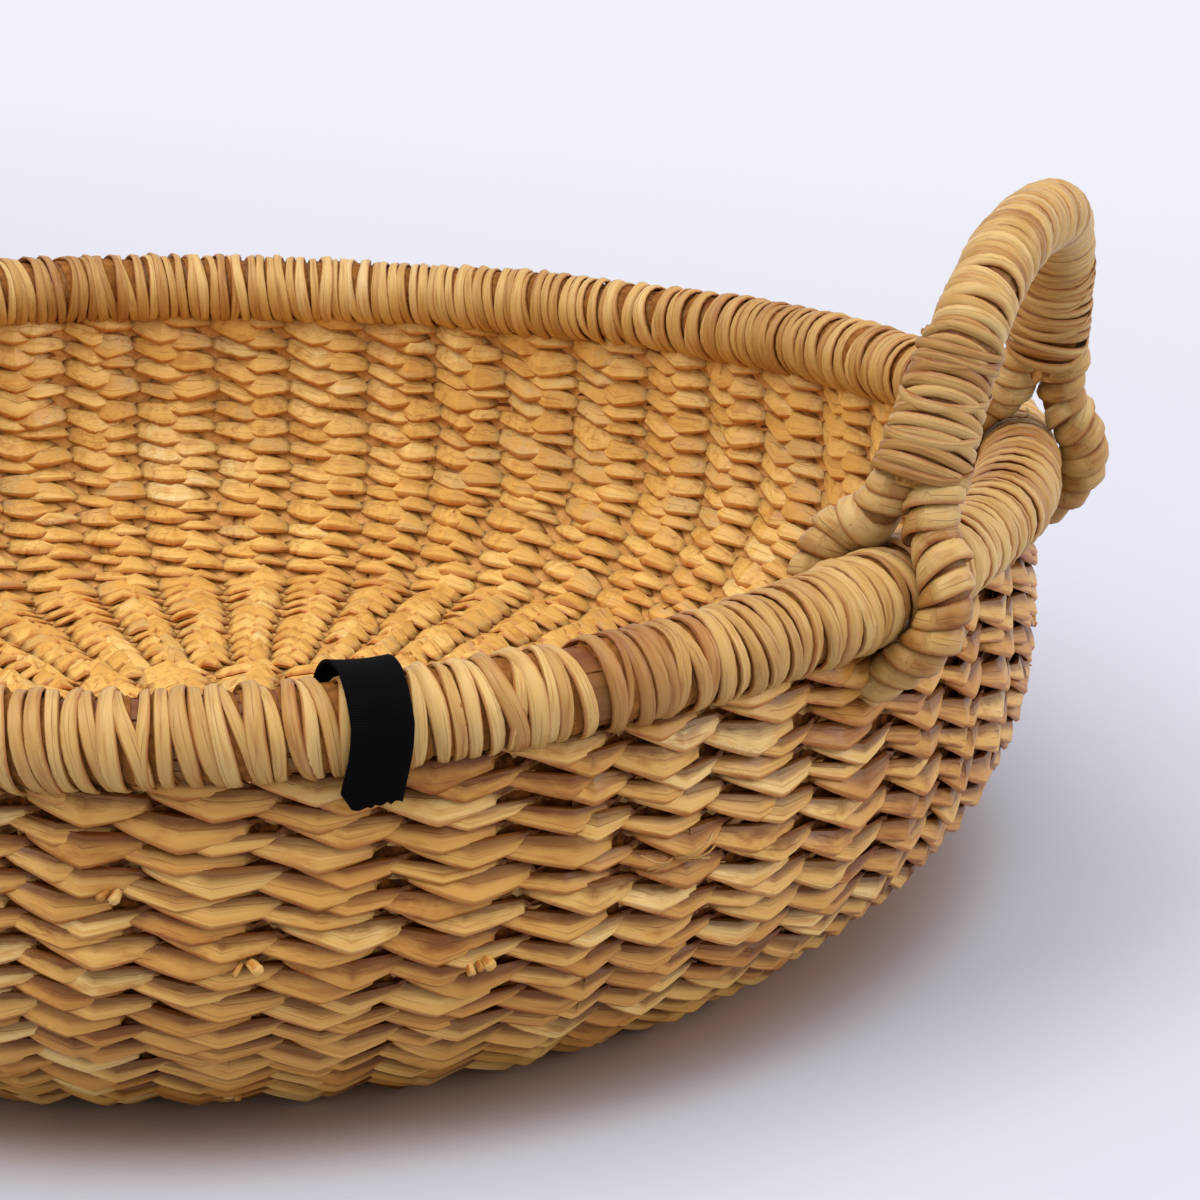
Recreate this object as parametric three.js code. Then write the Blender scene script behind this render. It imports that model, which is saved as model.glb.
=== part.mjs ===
// A round bolga basket: a bowl of grass weavers twined round crossing stakes, with a wrapped rim
// and two wrapped handles whose feet fork over the rim.
// Millimetres, +Z up. The origin is the middle of the base, on the surface that the basket stands on.
// The handles stand over +X and -X, and the ribbon hangs on the -Y side.

import * as THREE from 'three';

// The bowl, measured on its outer face. Its belly stands out beyond its mouth.
const BASE_RADIUS = 175;
const BELLY_BULGE = 1.7;
const BELLY_HEIGHT = 66;
const SHOULDER_POWER = 2.5;

// The rim: a round roll that rises a little at the handles and dips between them
const RIM_RADIUS = 213.3;
const RIM_HEIGHT = 104.5;
const RIM_THICKNESS = 23.4;
const RIM_SADDLE = 4.2;
const RIM_WRAP_THICKNESS = 2.4;
const RIM_SIDES = 8;

// The weave, which stands out in a rib over each upright and in a ridge for every three courses of twining
const STRAND_THICKNESS = 3.2;
const RIB_DEPTH = 1.8;
const RIDGE_GROOVE = 1.2;
const WALL_ROWS = 5;

// The stakes, which cross in a square in the middle of the base
const STAKES_EACH_WAY = 13;
const STAKE_WIDTH = 3.2;
const STAKE_THICKNESS = 2;
const STAKE_SPACING = 4;
const EYE_MARGIN = 13;

// The handles
const HANDLE_SPAN = 120.2;
const HANDLE_RISE = 52.4;
const HANDLE_THICKNESS = 18;
const HANDLE_LEAN = THREE.MathUtils.degToRad(10.8);
const ARCH_POWER = 3.15;
const ARCH_NARROWING_SHARE = 0.25;
const ARCH_STEPS = 24;
const ARCH_SIDES = 8;

// The strip wound round a handle
const WINDING_THICKNESS = 1.8;
const WINDING_CROWN = 0.6;
const WINDING_CLEARANCE = 0.9;
const WINDING_TURNS = 22;
const WINDING_STEPS = 9;

// The forked feet of a handle
const LEG_THICKNESS = 12;
const LEG_TIP_THICKNESS = 9;
const LEG_TUCK_DEPTH = 22;
const LEG_TURN = THREE.MathUtils.degToRad(100);
const LEG_STEPS = 10;
const LEG_SIDES = 8;
const THROAT_LENGTH = 7;
const ARCH_SEAT = 1.3;
const BINDING_HEIGHT = 3.6;
const BINDING_THICKNESS = 1.5;
const BINDING_FACETS = 6;

// The ribbon folded over the rim
const RIBBON_WIDTH = 13;
const RIBBON_THICKNESS = 0.7;
const RIBBON_STAND_OFF = 0.8;
const RIBBON_OUTER_DROP = 17;
const RIBBON_INNER_DROP = 15;
const RIBBON_WRAP = THREE.MathUtils.degToRad(118);
const RIBBON_PLACE = THREE.MathUtils.degToRad(-53);
const RIBBON_BENDS = 12;

// Room left between pieces that lie against each other
const FIT_GAP = 0.3;

// What follows from the sizes above
const UPRIGHTS = 4 * STAKES_EACH_WAY;
const UPRIGHT_ANGLE = (2 * Math.PI) / UPRIGHTS;
const RIM_ROLL_RADIUS = RIM_THICKNESS / 2;
const RIM_WRAP_INNER = RIM_ROLL_RADIUS - RIM_WRAP_THICKNESS;
const RIM_CORE_RADIUS = RIM_WRAP_INNER * Math.cos(Math.PI / RIM_SIDES) - FIT_GAP;
const WALL_TOP = RIM_HEIGHT - RIM_ROLL_RADIUS - FIT_GAP;
const STAKE_DEPTH = STRAND_THICKNESS + FIT_GAP;
const INNER_WEAVE_DEPTH = STAKE_DEPTH + STAKE_THICKNESS + FIT_GAP;
const WALL_THICKNESS = INNER_WEAVE_DEPTH + STRAND_THICKNESS;
const MOUTH_RADIUS = RIM_RADIUS + WALL_THICKNESS / 2;
const BELLY_RADIUS = MOUTH_RADIUS + BELLY_BULGE;
const CROSSING_HALF = ((STAKES_EACH_WAY - 1) / 2) * STAKE_SPACING + STAKE_WIDTH;
const EYE_RADIUS = CROSSING_HALF + EYE_MARGIN;
const LEG_RADIUS = LEG_THICKNESS / 2;
const LEG_ORBIT = RIM_ROLL_RADIUS + FIT_GAP + LEG_RADIUS;
const LEG_OFFSET = LEG_RADIUS + FIT_GAP / 2;
const CROWN_TURN = Math.asin(LEG_OFFSET / LEG_ORBIT);
const CROWN_HEIGHT = LEG_ORBIT * Math.cos(CROWN_TURN);
const FORK_HEIGHT = CROWN_HEIGHT + THROAT_LENGTH;
const ARCH_FOOT_HEIGHT = FORK_HEIGHT + ARCH_SEAT;
const SPLAY_SLOPE = (ARCH_NARROWING_SHARE * HANDLE_SPAN) / 2 / HANDLE_RISE;
const FOOT_ANGLE = footAngle();
const WINDING_INNER = HANDLE_THICKNESS / 2 - WINDING_THICKNESS;
const ARCH_CORE_RADIUS = WINDING_INNER * Math.cos(Math.PI / WINDING_STEPS) - FIT_GAP;

// The angle where a fork's axis crosses the rim, so that the arch's foot stands half the span from the middle
function footAngle() {
  const radius = RIM_RADIUS + Math.sin(HANDLE_LEAN) * ARCH_FOOT_HEIGHT;
  const drift = SPLAY_SLOPE * ARCH_FOOT_HEIGHT;
  return Math.asin(HANDLE_SPAN / 2 / Math.hypot(radius, drift)) + Math.atan2(drift, radius);
}

function matte(color, roughness) {
  return new THREE.MeshStandardMaterial({ color, roughness, metalness: 0 });
}

const STAKE_STRAW = matte(0xb98f52, 0.8);
const WEAVER_STRAW = matte(0xc59a5c, 0.75);
const CORE_STRAW = matte(0xa98149, 0.85);
const WRAP_STRAW = matte(0xd2a76b, 0.7);
const HANDLE_STRAW = matte(0xdcb67c, 0.68);
const BINDING_STRAW = matte(0xb07f45, 0.75);
const BLACK_RIBBON = matte(0x0a0a0b, 0.9);

// How far the rim's saddle lifts a point of the bowl: nothing at the base, all of it from the wall's top up
function saddleRise(angle, height) {
  const share = Math.min(Math.max(height / WALL_TOP, 0), 1);
  return RIM_SADDLE * Math.cos(2 * angle) * share ** 2;
}

function saddled(geometry) {
  const places = geometry.getAttribute('position');
  for (let i = 0; i < places.count; i += 1) {
    const angle = Math.atan2(places.getY(i), places.getX(i));
    const height = places.getZ(i);
    places.setZ(i, height + saddleRise(angle, height));
  }
  return geometry;
}

// A point at a radius in the direction of an angle, moved sideways to the left of that direction
function polar(angle, radius, sideways, height) {
  const x = radius * Math.cos(angle) - sideways * Math.sin(angle);
  const y = radius * Math.sin(angle) + sideways * Math.cos(angle);
  return new THREE.Vector3(x, y, height);
}

// A sum over a closed surface's faces that is negative where they point inwards
function signedVolume(points, faces) {
  let sum = 0;
  for (let i = 0; i < faces.length; i += 3) {
    const [a, b, c] = [points[faces[i]], points[faces[i + 1]], points[faces[i + 2]]];
    sum += a.dot(b.clone().cross(c));
  }
  return sum;
}

// A closed solid through rings of equally many points. A ring-shaped solid joins its last ring to its first,
// and any other is closed with a fan at each end.
function loft(rings, ringShaped = false) {
  const size = rings[0].length;
  const spans = ringShaped ? rings.length : rings.length - 1;
  const faces = [];
  for (let i = 0; i < spans; i += 1) {
    const here = i * size;
    const next = ((i + 1) % rings.length) * size;
    for (let j = 0; j < size; j += 1) {
      const k = (j + 1) % size;
      faces.push(here + j, here + k, next + k, here + j, next + k, next + j);
    }
  }
  const last = (rings.length - 1) * size;
  for (let j = 1; !ringShaped && j < size - 1; j += 1) {
    faces.push(0, j + 1, j, last, last + j, last + j + 1);
  }
  const points = rings.flat();
  if (signedVolume(points, faces) < 0) {
    faces.reverse();
  }
  const geometry = new THREE.BufferGeometry().setFromPoints(points);
  geometry.setIndex(faces);
  geometry.computeVertexNormals();
  return geometry;
}

// A ring round the basket's axis at a radius and height, with a corner at each upright
function roundRing(point) {
  const ring = [];
  for (let i = 0; i < UPRIGHTS; i += 1) {
    ring.push(polar(i * UPRIGHT_ANGLE, point.x, 0, point.y));
  }
  return ring;
}

// A closed profile in radius and height, turned round the basket's axis with a corner at each upright.
// A second profile, where there is one, makes the corners halfway between the uprights.
function revolved(profile, halfway = null) {
  const sections = [];
  for (let i = 0; i < UPRIGHTS; i += 1) {
    sections.push(profile.map((point) => polar(i * UPRIGHT_ANGLE, point.x, 0, point.y)));
    if (halfway) {
      sections.push(halfway.map((point) => polar((i + 1 / 2) * UPRIGHT_ANGLE, point.x, 0, point.y)));
    }
  }
  return loft(sections, true);
}

// The radius of the wall's outer face: a flared shoulder, the belly, and a slight draw-in to the mouth
function wallRadius(height) {
  if (height < BELLY_HEIGHT) {
    const below = 1 - height / BELLY_HEIGHT;
    return BELLY_RADIUS - (BELLY_RADIUS - BASE_RADIUS) * below ** SHOULDER_POWER;
  }
  const above = (height - BELLY_HEIGHT) / (WALL_TOP - BELLY_HEIGHT);
  return BELLY_RADIUS - (BELLY_RADIUS - MOUTH_RADIUS) * above ** 2;
}

function wallOutline() {
  const samples = 4 * WALL_ROWS;
  const points = [];
  for (let i = 0; i <= samples; i += 1) {
    const height = (WALL_TOP * i) / samples;
    points.push(new THREE.Vector2(wallRadius(height), height));
  }
  return new THREE.SplineCurve(points);
}

const WALL_OUTLINE = wallOutline();

// A point of the wall in radius and height: a share of the way up, and a depth in from the outer face.
// At the corner the depth is mitred between the base and the wall.
function wallPoint(share, depth) {
  const tangent = WALL_OUTLINE.getTangentAt(share);
  if (share === 0) {
    const mitre = Math.tan(Math.atan2(tangent.y, tangent.x) / 2);
    return new THREE.Vector2(BASE_RADIUS - depth * mitre, depth);
  }
  const point = WALL_OUTLINE.getPointAt(share);
  return new THREE.Vector2(point.x - depth * tangent.y, point.y + depth * tangent.x);
}

function wallRows(depth) {
  const points = [];
  for (let i = 0; i <= WALL_ROWS; i += 1) {
    points.push(wallPoint(i / WALL_ROWS, depth));
  }
  return points;
}

// The wall's outer face: the depths of its ridges and of the grooves over them, from the base's corner up
function ridgedFace(ridge, groove) {
  const points = [wallPoint(0, 0)];
  for (let i = 0; i < WALL_ROWS; i += 1) {
    points.push(wallPoint((i + 1 / 2) / WALL_ROWS, ridge));
    points.push(wallPoint((i + 1) / WALL_ROWS, groove));
  }
  return points;
}

// The wall's inner face: its depth above the base's corner
function innerFace(depth) {
  return [wallPoint(0, WALL_THICKNESS), ...wallRows(depth).slice(1)];
}

function wallOuterWeave() {
  const back = wallRows(STRAND_THICKNESS).reverse();
  const rib = [...ridgedFace(0, RIDGE_GROOVE), ...back];
  const hollow = [...ridgedFace(RIB_DEPTH, RIB_DEPTH), ...back];
  return saddled(revolved(rib, hollow));
}

function wallInnerWeave() {
  const back = wallRows(INNER_WEAVE_DEPTH).reverse();
  const rib = [...innerFace(WALL_THICKNESS), ...back];
  const hollow = [...innerFace(WALL_THICKNESS - RIB_DEPTH), ...back];
  return saddled(revolved(rib, hollow));
}

// The edge of one face of the base, mitred against the wall
function baseEdge(depth) {
  return [depth, depth + STRAND_THICKNESS].map((height) => {
    const corner = wallPoint(0, height);
    return new THREE.Vector2(corner.x - FIT_GAP, corner.y);
  });
}

// The under face of the base: a disc of twining that begins in the very middle
function baseUnderWeave() {
  return loft(baseEdge(0).map((edge) => roundRing(edge)));
}

// The upper face of the base: a disc of twining with an eye in its middle, where the crossing shows
function baseUpperWeave() {
  const [low, high] = baseEdge(INNER_WEAVE_DEPTH);
  return revolved([new THREE.Vector2(EYE_RADIUS, low.y), low, high, new THREE.Vector2(EYE_RADIUS, high.y)]);
}

// A stake's section on its upright's angle, through the radii and heights of its lower and upper flat faces
function stakeSection(angle, lower, upper) {
  return [[lower, -1], [upper, -1], [upper, 1], [lower, 1]]
    .map(([face, side]) => polar(angle, face.x, (side * STAKE_WIDTH) / 2, face.y));
}

// The section where a stake leaves the crossing, before it fans out to its upright's angle
function crossingSection(place, lift) {
  const lowest = STAKE_DEPTH + lift;
  return [[0, -1], [1, -1], [1, 1], [0, 1]]
    .map(([face, side]) => new THREE.Vector3(
      CROSSING_HALF,
      place * STAKE_SPACING + (side * STAKE_WIDTH) / 2,
      lowest + face * STAKE_THICKNESS,
    ));
}

// Half of a stake: from the crossing it runs out in the base, up in the wall and into the rim
function stakeHalf(place, lift) {
  const angle = place * UPRIGHT_ANGLE;
  const upperDepth = STAKE_DEPTH + STAKE_THICKNESS;
  const lower = [new THREE.Vector2(EYE_RADIUS, STAKE_DEPTH), ...wallRows(STAKE_DEPTH)];
  const upper = [new THREE.Vector2(EYE_RADIUS, upperDepth), ...wallRows(upperDepth)];
  const tip = RIM_HEIGHT - RIM_CORE_RADIUS - FIT_GAP;
  lower.push(new THREE.Vector2(RIM_RADIUS + STAKE_THICKNESS / 2, tip));
  upper.push(new THREE.Vector2(RIM_RADIUS - STAKE_THICKNESS / 2, tip));
  return [crossingSection(place, lift), ...lower.map((face, i) => stakeSection(angle, face, upper[i]))];
}

// A whole stake: its far half is the near half of the opposite place, turned half round
function stake(place, lift, turn) {
  const farHalf = stakeHalf(-place, lift).map((section) => section
    .map((corner) => new THREE.Vector3(-corner.x, -corner.y, corner.z))
    .reverse());
  const geometry = loft([...farHalf.reverse(), ...stakeHalf(place, lift)]);
  geometry.rotateZ(turn);
  return saddled(geometry);
}

function rimCore() {
  const core = new THREE.TorusGeometry(RIM_RADIUS, RIM_CORE_RADIUS, RIM_SIDES - 2, UPRIGHTS);
  return saddled(core.translate(0, 0, RIM_HEIGHT));
}

// A round the rim's section that leaves a slit along the underside, where the stakes pass up to the core
function slitArc(radius) {
  const slit = Math.asin((STAKE_THICKNESS / 2 + FIT_GAP) / radius);
  const points = [];
  for (let i = 0; i <= RIM_SIDES; i += 1) {
    const turn = -Math.PI / 2 + slit + ((2 * Math.PI - 2 * slit) * i) / RIM_SIDES;
    points.push(new THREE.Vector2(RIM_RADIUS + radius * Math.cos(turn), RIM_HEIGHT + radius * Math.sin(turn)));
  }
  return points;
}

function rimWrap() {
  return saddled(revolved([...slitArc(RIM_ROLL_RADIUS), ...slitArc(RIM_WRAP_INNER).reverse()]));
}

// A point beside the rim, from how far out of and above its centre line it lies
function besideRim(angle, out, up, sideways = 0) {
  return polar(angle, RIM_RADIUS + out, sideways, RIM_HEIGHT + saddleRise(angle, RIM_HEIGHT) + up);
}

// A point beside the rim at a foot of the handle, measured across and up the fork's axis. That axis leans out
// with the handle, and towards the middle in line with the arch. The foot is 1 on the +Y side and -1 on the other.
function besideFork(foot, across, rise) {
  const out = across * Math.cos(HANDLE_LEAN) + rise * Math.sin(HANDLE_LEAN);
  const up = rise * Math.cos(HANDLE_LEAN) - across * Math.sin(HANDLE_LEAN);
  return besideRim(foot * FOOT_ANGLE, out, up, -foot * SPLAY_SLOPE * rise);
}

// The centre line of a handle's arch, flat in the leaning plane: a squared half oval that narrows upwards
class ArchLine extends THREE.Curve {
  constructor() {
    super();
    this.arcLengthDivisions = 20 * ARCH_STEPS;
    this.foot = besideFork(1, 0, ARCH_FOOT_HEIGHT);
  }

  getPoint(share, target = new THREE.Vector3()) {
    const cosine = -Math.cos(Math.PI * share);
    const across = Math.sign(cosine) * Math.abs(cosine) ** (2 / ARCH_POWER);
    const rise = Math.max(Math.sin(Math.PI * share), 0) ** (2 / ARCH_POWER);
    return target.set(
      this.foot.x + Math.sin(HANDLE_LEAN) * HANDLE_RISE * rise,
      this.foot.y * across * (1 - ARCH_NARROWING_SHARE * rise),
      this.foot.z + Math.cos(HANDLE_LEAN) * HANDLE_RISE * rise,
    );
  }
}

const ARCH_LINE = new ArchLine();
const ARCH_PLANE = new THREE.Vector3(Math.cos(HANDLE_LEAN), 0, -Math.sin(HANDLE_LEAN));

// A point beside the arch: a share of the way along it, then a turn round its line and a distance from it
function besideArch(share, turn, distance) {
  const inPlane = new THREE.Vector3().crossVectors(ARCH_PLANE, ARCH_LINE.getTangentAt(share));
  return ARCH_LINE.getPointAt(share)
    .addScaledVector(inPlane, distance * Math.cos(turn))
    .addScaledVector(ARCH_PLANE, distance * Math.sin(turn));
}

function archCore() {
  const rings = [];
  for (let i = 0; i <= ARCH_STEPS; i += 1) {
    const ring = [];
    for (let j = 0; j < ARCH_SIDES; j += 1) {
      ring.push(besideArch(i / ARCH_STEPS, (2 * Math.PI * j) / ARCH_SIDES, ARCH_CORE_RADIUS));
    }
    rings.push(ring);
  }
  return loft(rings);
}

// The least distance between the points of one turn of a winding and those of the next
function leastGap(rings, stepsPerTurn) {
  let least = Infinity;
  for (let i = stepsPerTurn; i < rings.length; i += 1) {
    for (const here of rings[i]) {
      for (const before of rings[i - stepsPerTurn]) {
        least = Math.min(least, here.distanceTo(before));
      }
    }
  }
  return least;
}

// One unbroken strip wound round the arch's core, with a crown along its middle.
// Its edges keep to shares of the arch's length, so it narrows inside the bends and never laps itself.
function archWinding() {
  const pitchShare = 1 / (WINDING_TURNS + 1);
  const halfShare = (pitchShare - WINDING_CLEARANCE / ARCH_LINE.getLength()) / 2;
  const outer = HANDLE_THICKNESS / 2;
  const steps = WINDING_TURNS * WINDING_STEPS;
  const rings = [];
  for (let i = 0; i <= steps; i += 1) {
    const middle = halfShare + ((1 - 2 * halfShare) * i) / steps;
    const turn = (2 * Math.PI * i) / WINDING_STEPS;
    rings.push([
      besideArch(middle - halfShare, turn, WINDING_INNER),
      besideArch(middle - halfShare, turn, outer - WINDING_CROWN),
      besideArch(middle, turn, outer),
      besideArch(middle + halfShare, turn, outer - WINDING_CROWN),
      besideArch(middle + halfShare, turn, WINDING_INNER),
    ]);
  }
  console.log(`handle winding: least gap to itself ${leastGap(rings, WINDING_STEPS).toFixed(2)} mm`);
  return loft(rings);
}

// The path of a fork's leg round one side of the rim, to its tip against the wall below.
// The side is 1 for the outer leg and -1 for the inner one.
function legPath(foot, side) {
  const points = [besideFork(foot, side * LEG_OFFSET, FORK_HEIGHT)];
  for (let i = 0; i <= LEG_STEPS; i += 1) {
    const turn = CROWN_TURN + ((LEG_TURN - side * HANDLE_LEAN - CROWN_TURN) * i) / LEG_STEPS;
    points.push(besideFork(foot, side * LEG_ORBIT * Math.sin(turn), LEG_ORBIT * Math.cos(turn)));
  }
  const wallOut = wallRadius(RIM_HEIGHT - LEG_TUCK_DEPTH) - RIM_RADIUS - WALL_THICKNESS / 2;
  const clearOut = WALL_THICKNESS / 2 + FIT_GAP + LEG_TIP_THICKNESS / 2;
  const drift = foot * SPLAY_SLOPE * LEG_TUCK_DEPTH;
  points.push(besideRim(foot * FOOT_ANGLE, wallOut + side * clearOut, -LEG_TUCK_DEPTH, drift));
  return new THREE.CatmullRomCurve3(points);
}

function forkLeg(foot, side) {
  const path = legPath(foot, side);
  const rimLine = polar(foot * FOOT_ANGLE, 0, 1, 0);
  const rings = [];
  for (let i = 0; i <= LEG_STEPS; i += 1) {
    const share = i / LEG_STEPS;
    const tangent = path.getTangentAt(share);
    const across = new THREE.Vector3().crossVectors(rimLine, tangent).normalize();
    const along = new THREE.Vector3().crossVectors(tangent, across);
    const radius = THREE.MathUtils.lerp(LEG_RADIUS, LEG_TIP_THICKNESS / 2, share ** 2);
    const ring = [];
    for (let j = 0; j < LEG_SIDES; j += 1) {
      const turn = (2 * Math.PI * (j + 0.5)) / LEG_SIDES;
      ring.push(path.getPointAt(share)
        .addScaledVector(across, radius * Math.cos(turn))
        .addScaledVector(along, radius * Math.sin(turn)));
    }
    rings.push(ring);
  }
  return loft(rings);
}

// The outline round both legs at the throat, grown by a margin. The flats of its facets clear the legs.
function throatOval(margin, outline) {
  const radius = (LEG_RADIUS + FIT_GAP) / Math.cos(Math.PI / 2 / BINDING_FACETS) + margin;
  outline.absarc(LEG_OFFSET, 0, radius, -Math.PI / 2, Math.PI / 2, false);
  outline.absarc(-LEG_OFFSET, 0, radius, Math.PI / 2, (3 * Math.PI) / 2, false);
  outline.closePath();
  return outline;
}

// A band bound round both legs just under their tops
function throatBinding(foot) {
  const band = throatOval(BINDING_THICKNESS, new THREE.Shape());
  band.holes.push(throatOval(0, new THREE.Path()));
  const options = { depth: BINDING_HEIGHT, bevelEnabled: false, curveSegments: BINDING_FACETS };
  const geometry = new THREE.ExtrudeGeometry(band, options);
  const seat = besideFork(foot, 0, FORK_HEIGHT - BINDING_HEIGHT);
  const across = besideFork(foot, LEG_OFFSET, FORK_HEIGHT - BINDING_HEIGHT).sub(seat).normalize();
  const axis = besideFork(foot, 0, FORK_HEIGHT).sub(seat).normalize();
  const sideways = new THREE.Vector3().crossVectors(axis, across);
  const place = new THREE.Matrix4().makeBasis(across, sideways, axis).setPosition(seat);
  return geometry.applyMatrix4(place);
}

// The ribbon's line over the rim, from its end on the outer face of the wall to its end on the inner one
function ribbonLine() {
  const orbit = RIM_ROLL_RADIUS + RIBBON_STAND_OFF + RIBBON_THICKNESS / 2;
  const clearOut = WALL_THICKNESS / 2 + RIBBON_STAND_OFF + RIBBON_THICKNESS / 2;
  const wallOut = (drop) => wallRadius(RIM_HEIGHT - drop) - RIM_RADIUS - WALL_THICKNESS / 2;
  const points = [new THREE.Vector2(wallOut(RIBBON_OUTER_DROP) + clearOut, -RIBBON_OUTER_DROP)];
  for (let i = 0; i <= RIBBON_BENDS; i += 1) {
    const turn = RIBBON_WRAP * (1 - (2 * i) / RIBBON_BENDS);
    points.push(new THREE.Vector2(orbit * Math.sin(turn), orbit * Math.cos(turn)));
  }
  points.push(new THREE.Vector2(wallOut(RIBBON_INNER_DROP) - clearOut, -RIBBON_INNER_DROP));
  return points;
}

function ribbon() {
  const line = ribbonLine();
  const half = RIBBON_WIDTH / 2;
  const rings = line.map((point, i) => {
    const before = line[Math.max(i - 1, 0)];
    const after = line[Math.min(i + 1, line.length - 1)];
    const run = after.clone().sub(before).normalize();
    const face = new THREE.Vector2(-run.y, run.x).multiplyScalar(RIBBON_THICKNESS / 2);
    const upper = point.clone().add(face);
    const under = point.clone().sub(face);
    return [[upper, -half], [upper, half], [under, half], [under, -half]]
      .map(([place, sideways]) => besideRim(RIBBON_PLACE, place.x, place.y, sideways));
  });
  return loft(rings);
}

const basket = new THREE.Group();

function addPiece(parent, name, geometry, material) {
  const mesh = new THREE.Mesh(geometry, material);
  mesh.name = name;
  parent.add(mesh);
}

// The stakes lie in two layers, one along X over one along Y
const LAYERS = [
  { name: 'stake_x', turn: 0, lift: STAKE_THICKNESS + FIT_GAP },
  { name: 'stake_y', turn: Math.PI / 2, lift: 0 },
];
for (const layer of LAYERS) {
  for (let i = 0; i < STAKES_EACH_WAY; i += 1) {
    const place = i - (STAKES_EACH_WAY - 1) / 2;
    const number = String(i + 1).padStart(2, '0');
    addPiece(basket, `${layer.name}_${number}`, stake(place, layer.lift, layer.turn), STAKE_STRAW);
  }
}

addPiece(basket, 'base_weave_under', baseUnderWeave(), WEAVER_STRAW);
addPiece(basket, 'base_weave_upper', baseUpperWeave(), WEAVER_STRAW);
addPiece(basket, 'wall_weave_outer', wallOuterWeave(), WEAVER_STRAW);
addPiece(basket, 'wall_weave_inner', wallInnerWeave(), WEAVER_STRAW);
addPiece(basket, 'rim_core', rimCore(), CORE_STRAW);
addPiece(basket, 'rim_wrap', rimWrap(), WRAP_STRAW);

// The handles are alike. The left one is turned half round, which brings its foot on the +Y side to the front.
const HANDLES = [
  { name: 'right_handle', turn: 0, feet: { rear: 1, front: -1 } },
  { name: 'left_handle', turn: Math.PI, feet: { front: 1, rear: -1 } },
];
for (const handle of HANDLES) {
  const group = new THREE.Group();
  group.rotation.z = handle.turn;
  addPiece(group, `${handle.name}_core`, archCore(), CORE_STRAW);
  addPiece(group, `${handle.name}_winding`, archWinding(), HANDLE_STRAW);
  for (const [name, foot] of Object.entries(handle.feet)) {
    addPiece(group, `${handle.name}_${name}_outer_leg`, forkLeg(foot, 1), HANDLE_STRAW);
    addPiece(group, `${handle.name}_${name}_inner_leg`, forkLeg(foot, -1), HANDLE_STRAW);
    addPiece(group, `${handle.name}_${name}_binding`, throatBinding(foot), BINDING_STRAW);
  }
  basket.add(group);
}

addPiece(basket, 'ribbon', ribbon(), BLACK_RIBBON);

export default basket;
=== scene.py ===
"""The looks of a round bolga basket of twined grass.

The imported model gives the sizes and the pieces. This script weaves the wall and the base from
twisted grass, winds the rim and the handles with grass strip, folds the ribbon over the rim, and
sets up the table, the light and the camera.
"""

import logging
import math
import random
from collections.abc import Callable, Mapping, Sequence
from dataclasses import dataclass, fields, replace
from enum import Enum
from typing import Union

import bpy
from bpy.types import Material, Mesh, Object
from mathutils import Matrix, Vector


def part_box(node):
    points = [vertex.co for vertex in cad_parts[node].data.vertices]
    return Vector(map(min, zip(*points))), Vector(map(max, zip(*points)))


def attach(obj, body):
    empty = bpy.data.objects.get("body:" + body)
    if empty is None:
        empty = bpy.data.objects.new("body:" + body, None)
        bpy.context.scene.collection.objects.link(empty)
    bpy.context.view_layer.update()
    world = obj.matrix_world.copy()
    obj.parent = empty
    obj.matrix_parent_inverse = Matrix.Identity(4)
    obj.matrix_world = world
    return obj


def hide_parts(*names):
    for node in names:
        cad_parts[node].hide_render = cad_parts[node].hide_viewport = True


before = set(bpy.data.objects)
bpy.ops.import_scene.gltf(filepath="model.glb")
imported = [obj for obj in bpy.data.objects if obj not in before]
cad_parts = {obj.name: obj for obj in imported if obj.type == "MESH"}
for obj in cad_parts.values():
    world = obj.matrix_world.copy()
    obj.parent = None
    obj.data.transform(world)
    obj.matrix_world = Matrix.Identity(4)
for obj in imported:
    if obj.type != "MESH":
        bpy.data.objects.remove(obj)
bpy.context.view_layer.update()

LOG = logging.getLogger("bolga_basket")

BODY = "root"
FULL_TURN = 2 * math.pi
GOLDEN = 0.618  # spreads the rods' tones evenly
Value = Union["Wire", float, int, bool, str, tuple, list, Vector, bpy.types.ID]
Settings = Mapping[str, object] | None
Inputs = Mapping[str | int, Value] | None
Line = Sequence[Vector]
Numbers = Sequence[float]
Triple = tuple[float, float, float]
Spot = tuple[float, float]  # an angle in degrees and a height


# Node trees


def adds(operation: str, turned: bool = False) -> Callable[..., "Wire"]:
    """A method of Wire that adds one maths node, with self last where it is turned round."""

    def method(self: "Wire", *others: Value) -> "Wire":
        return self.sheet.math(operation, *((*others, self) if turned else (self, *others)))

    return method


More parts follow.
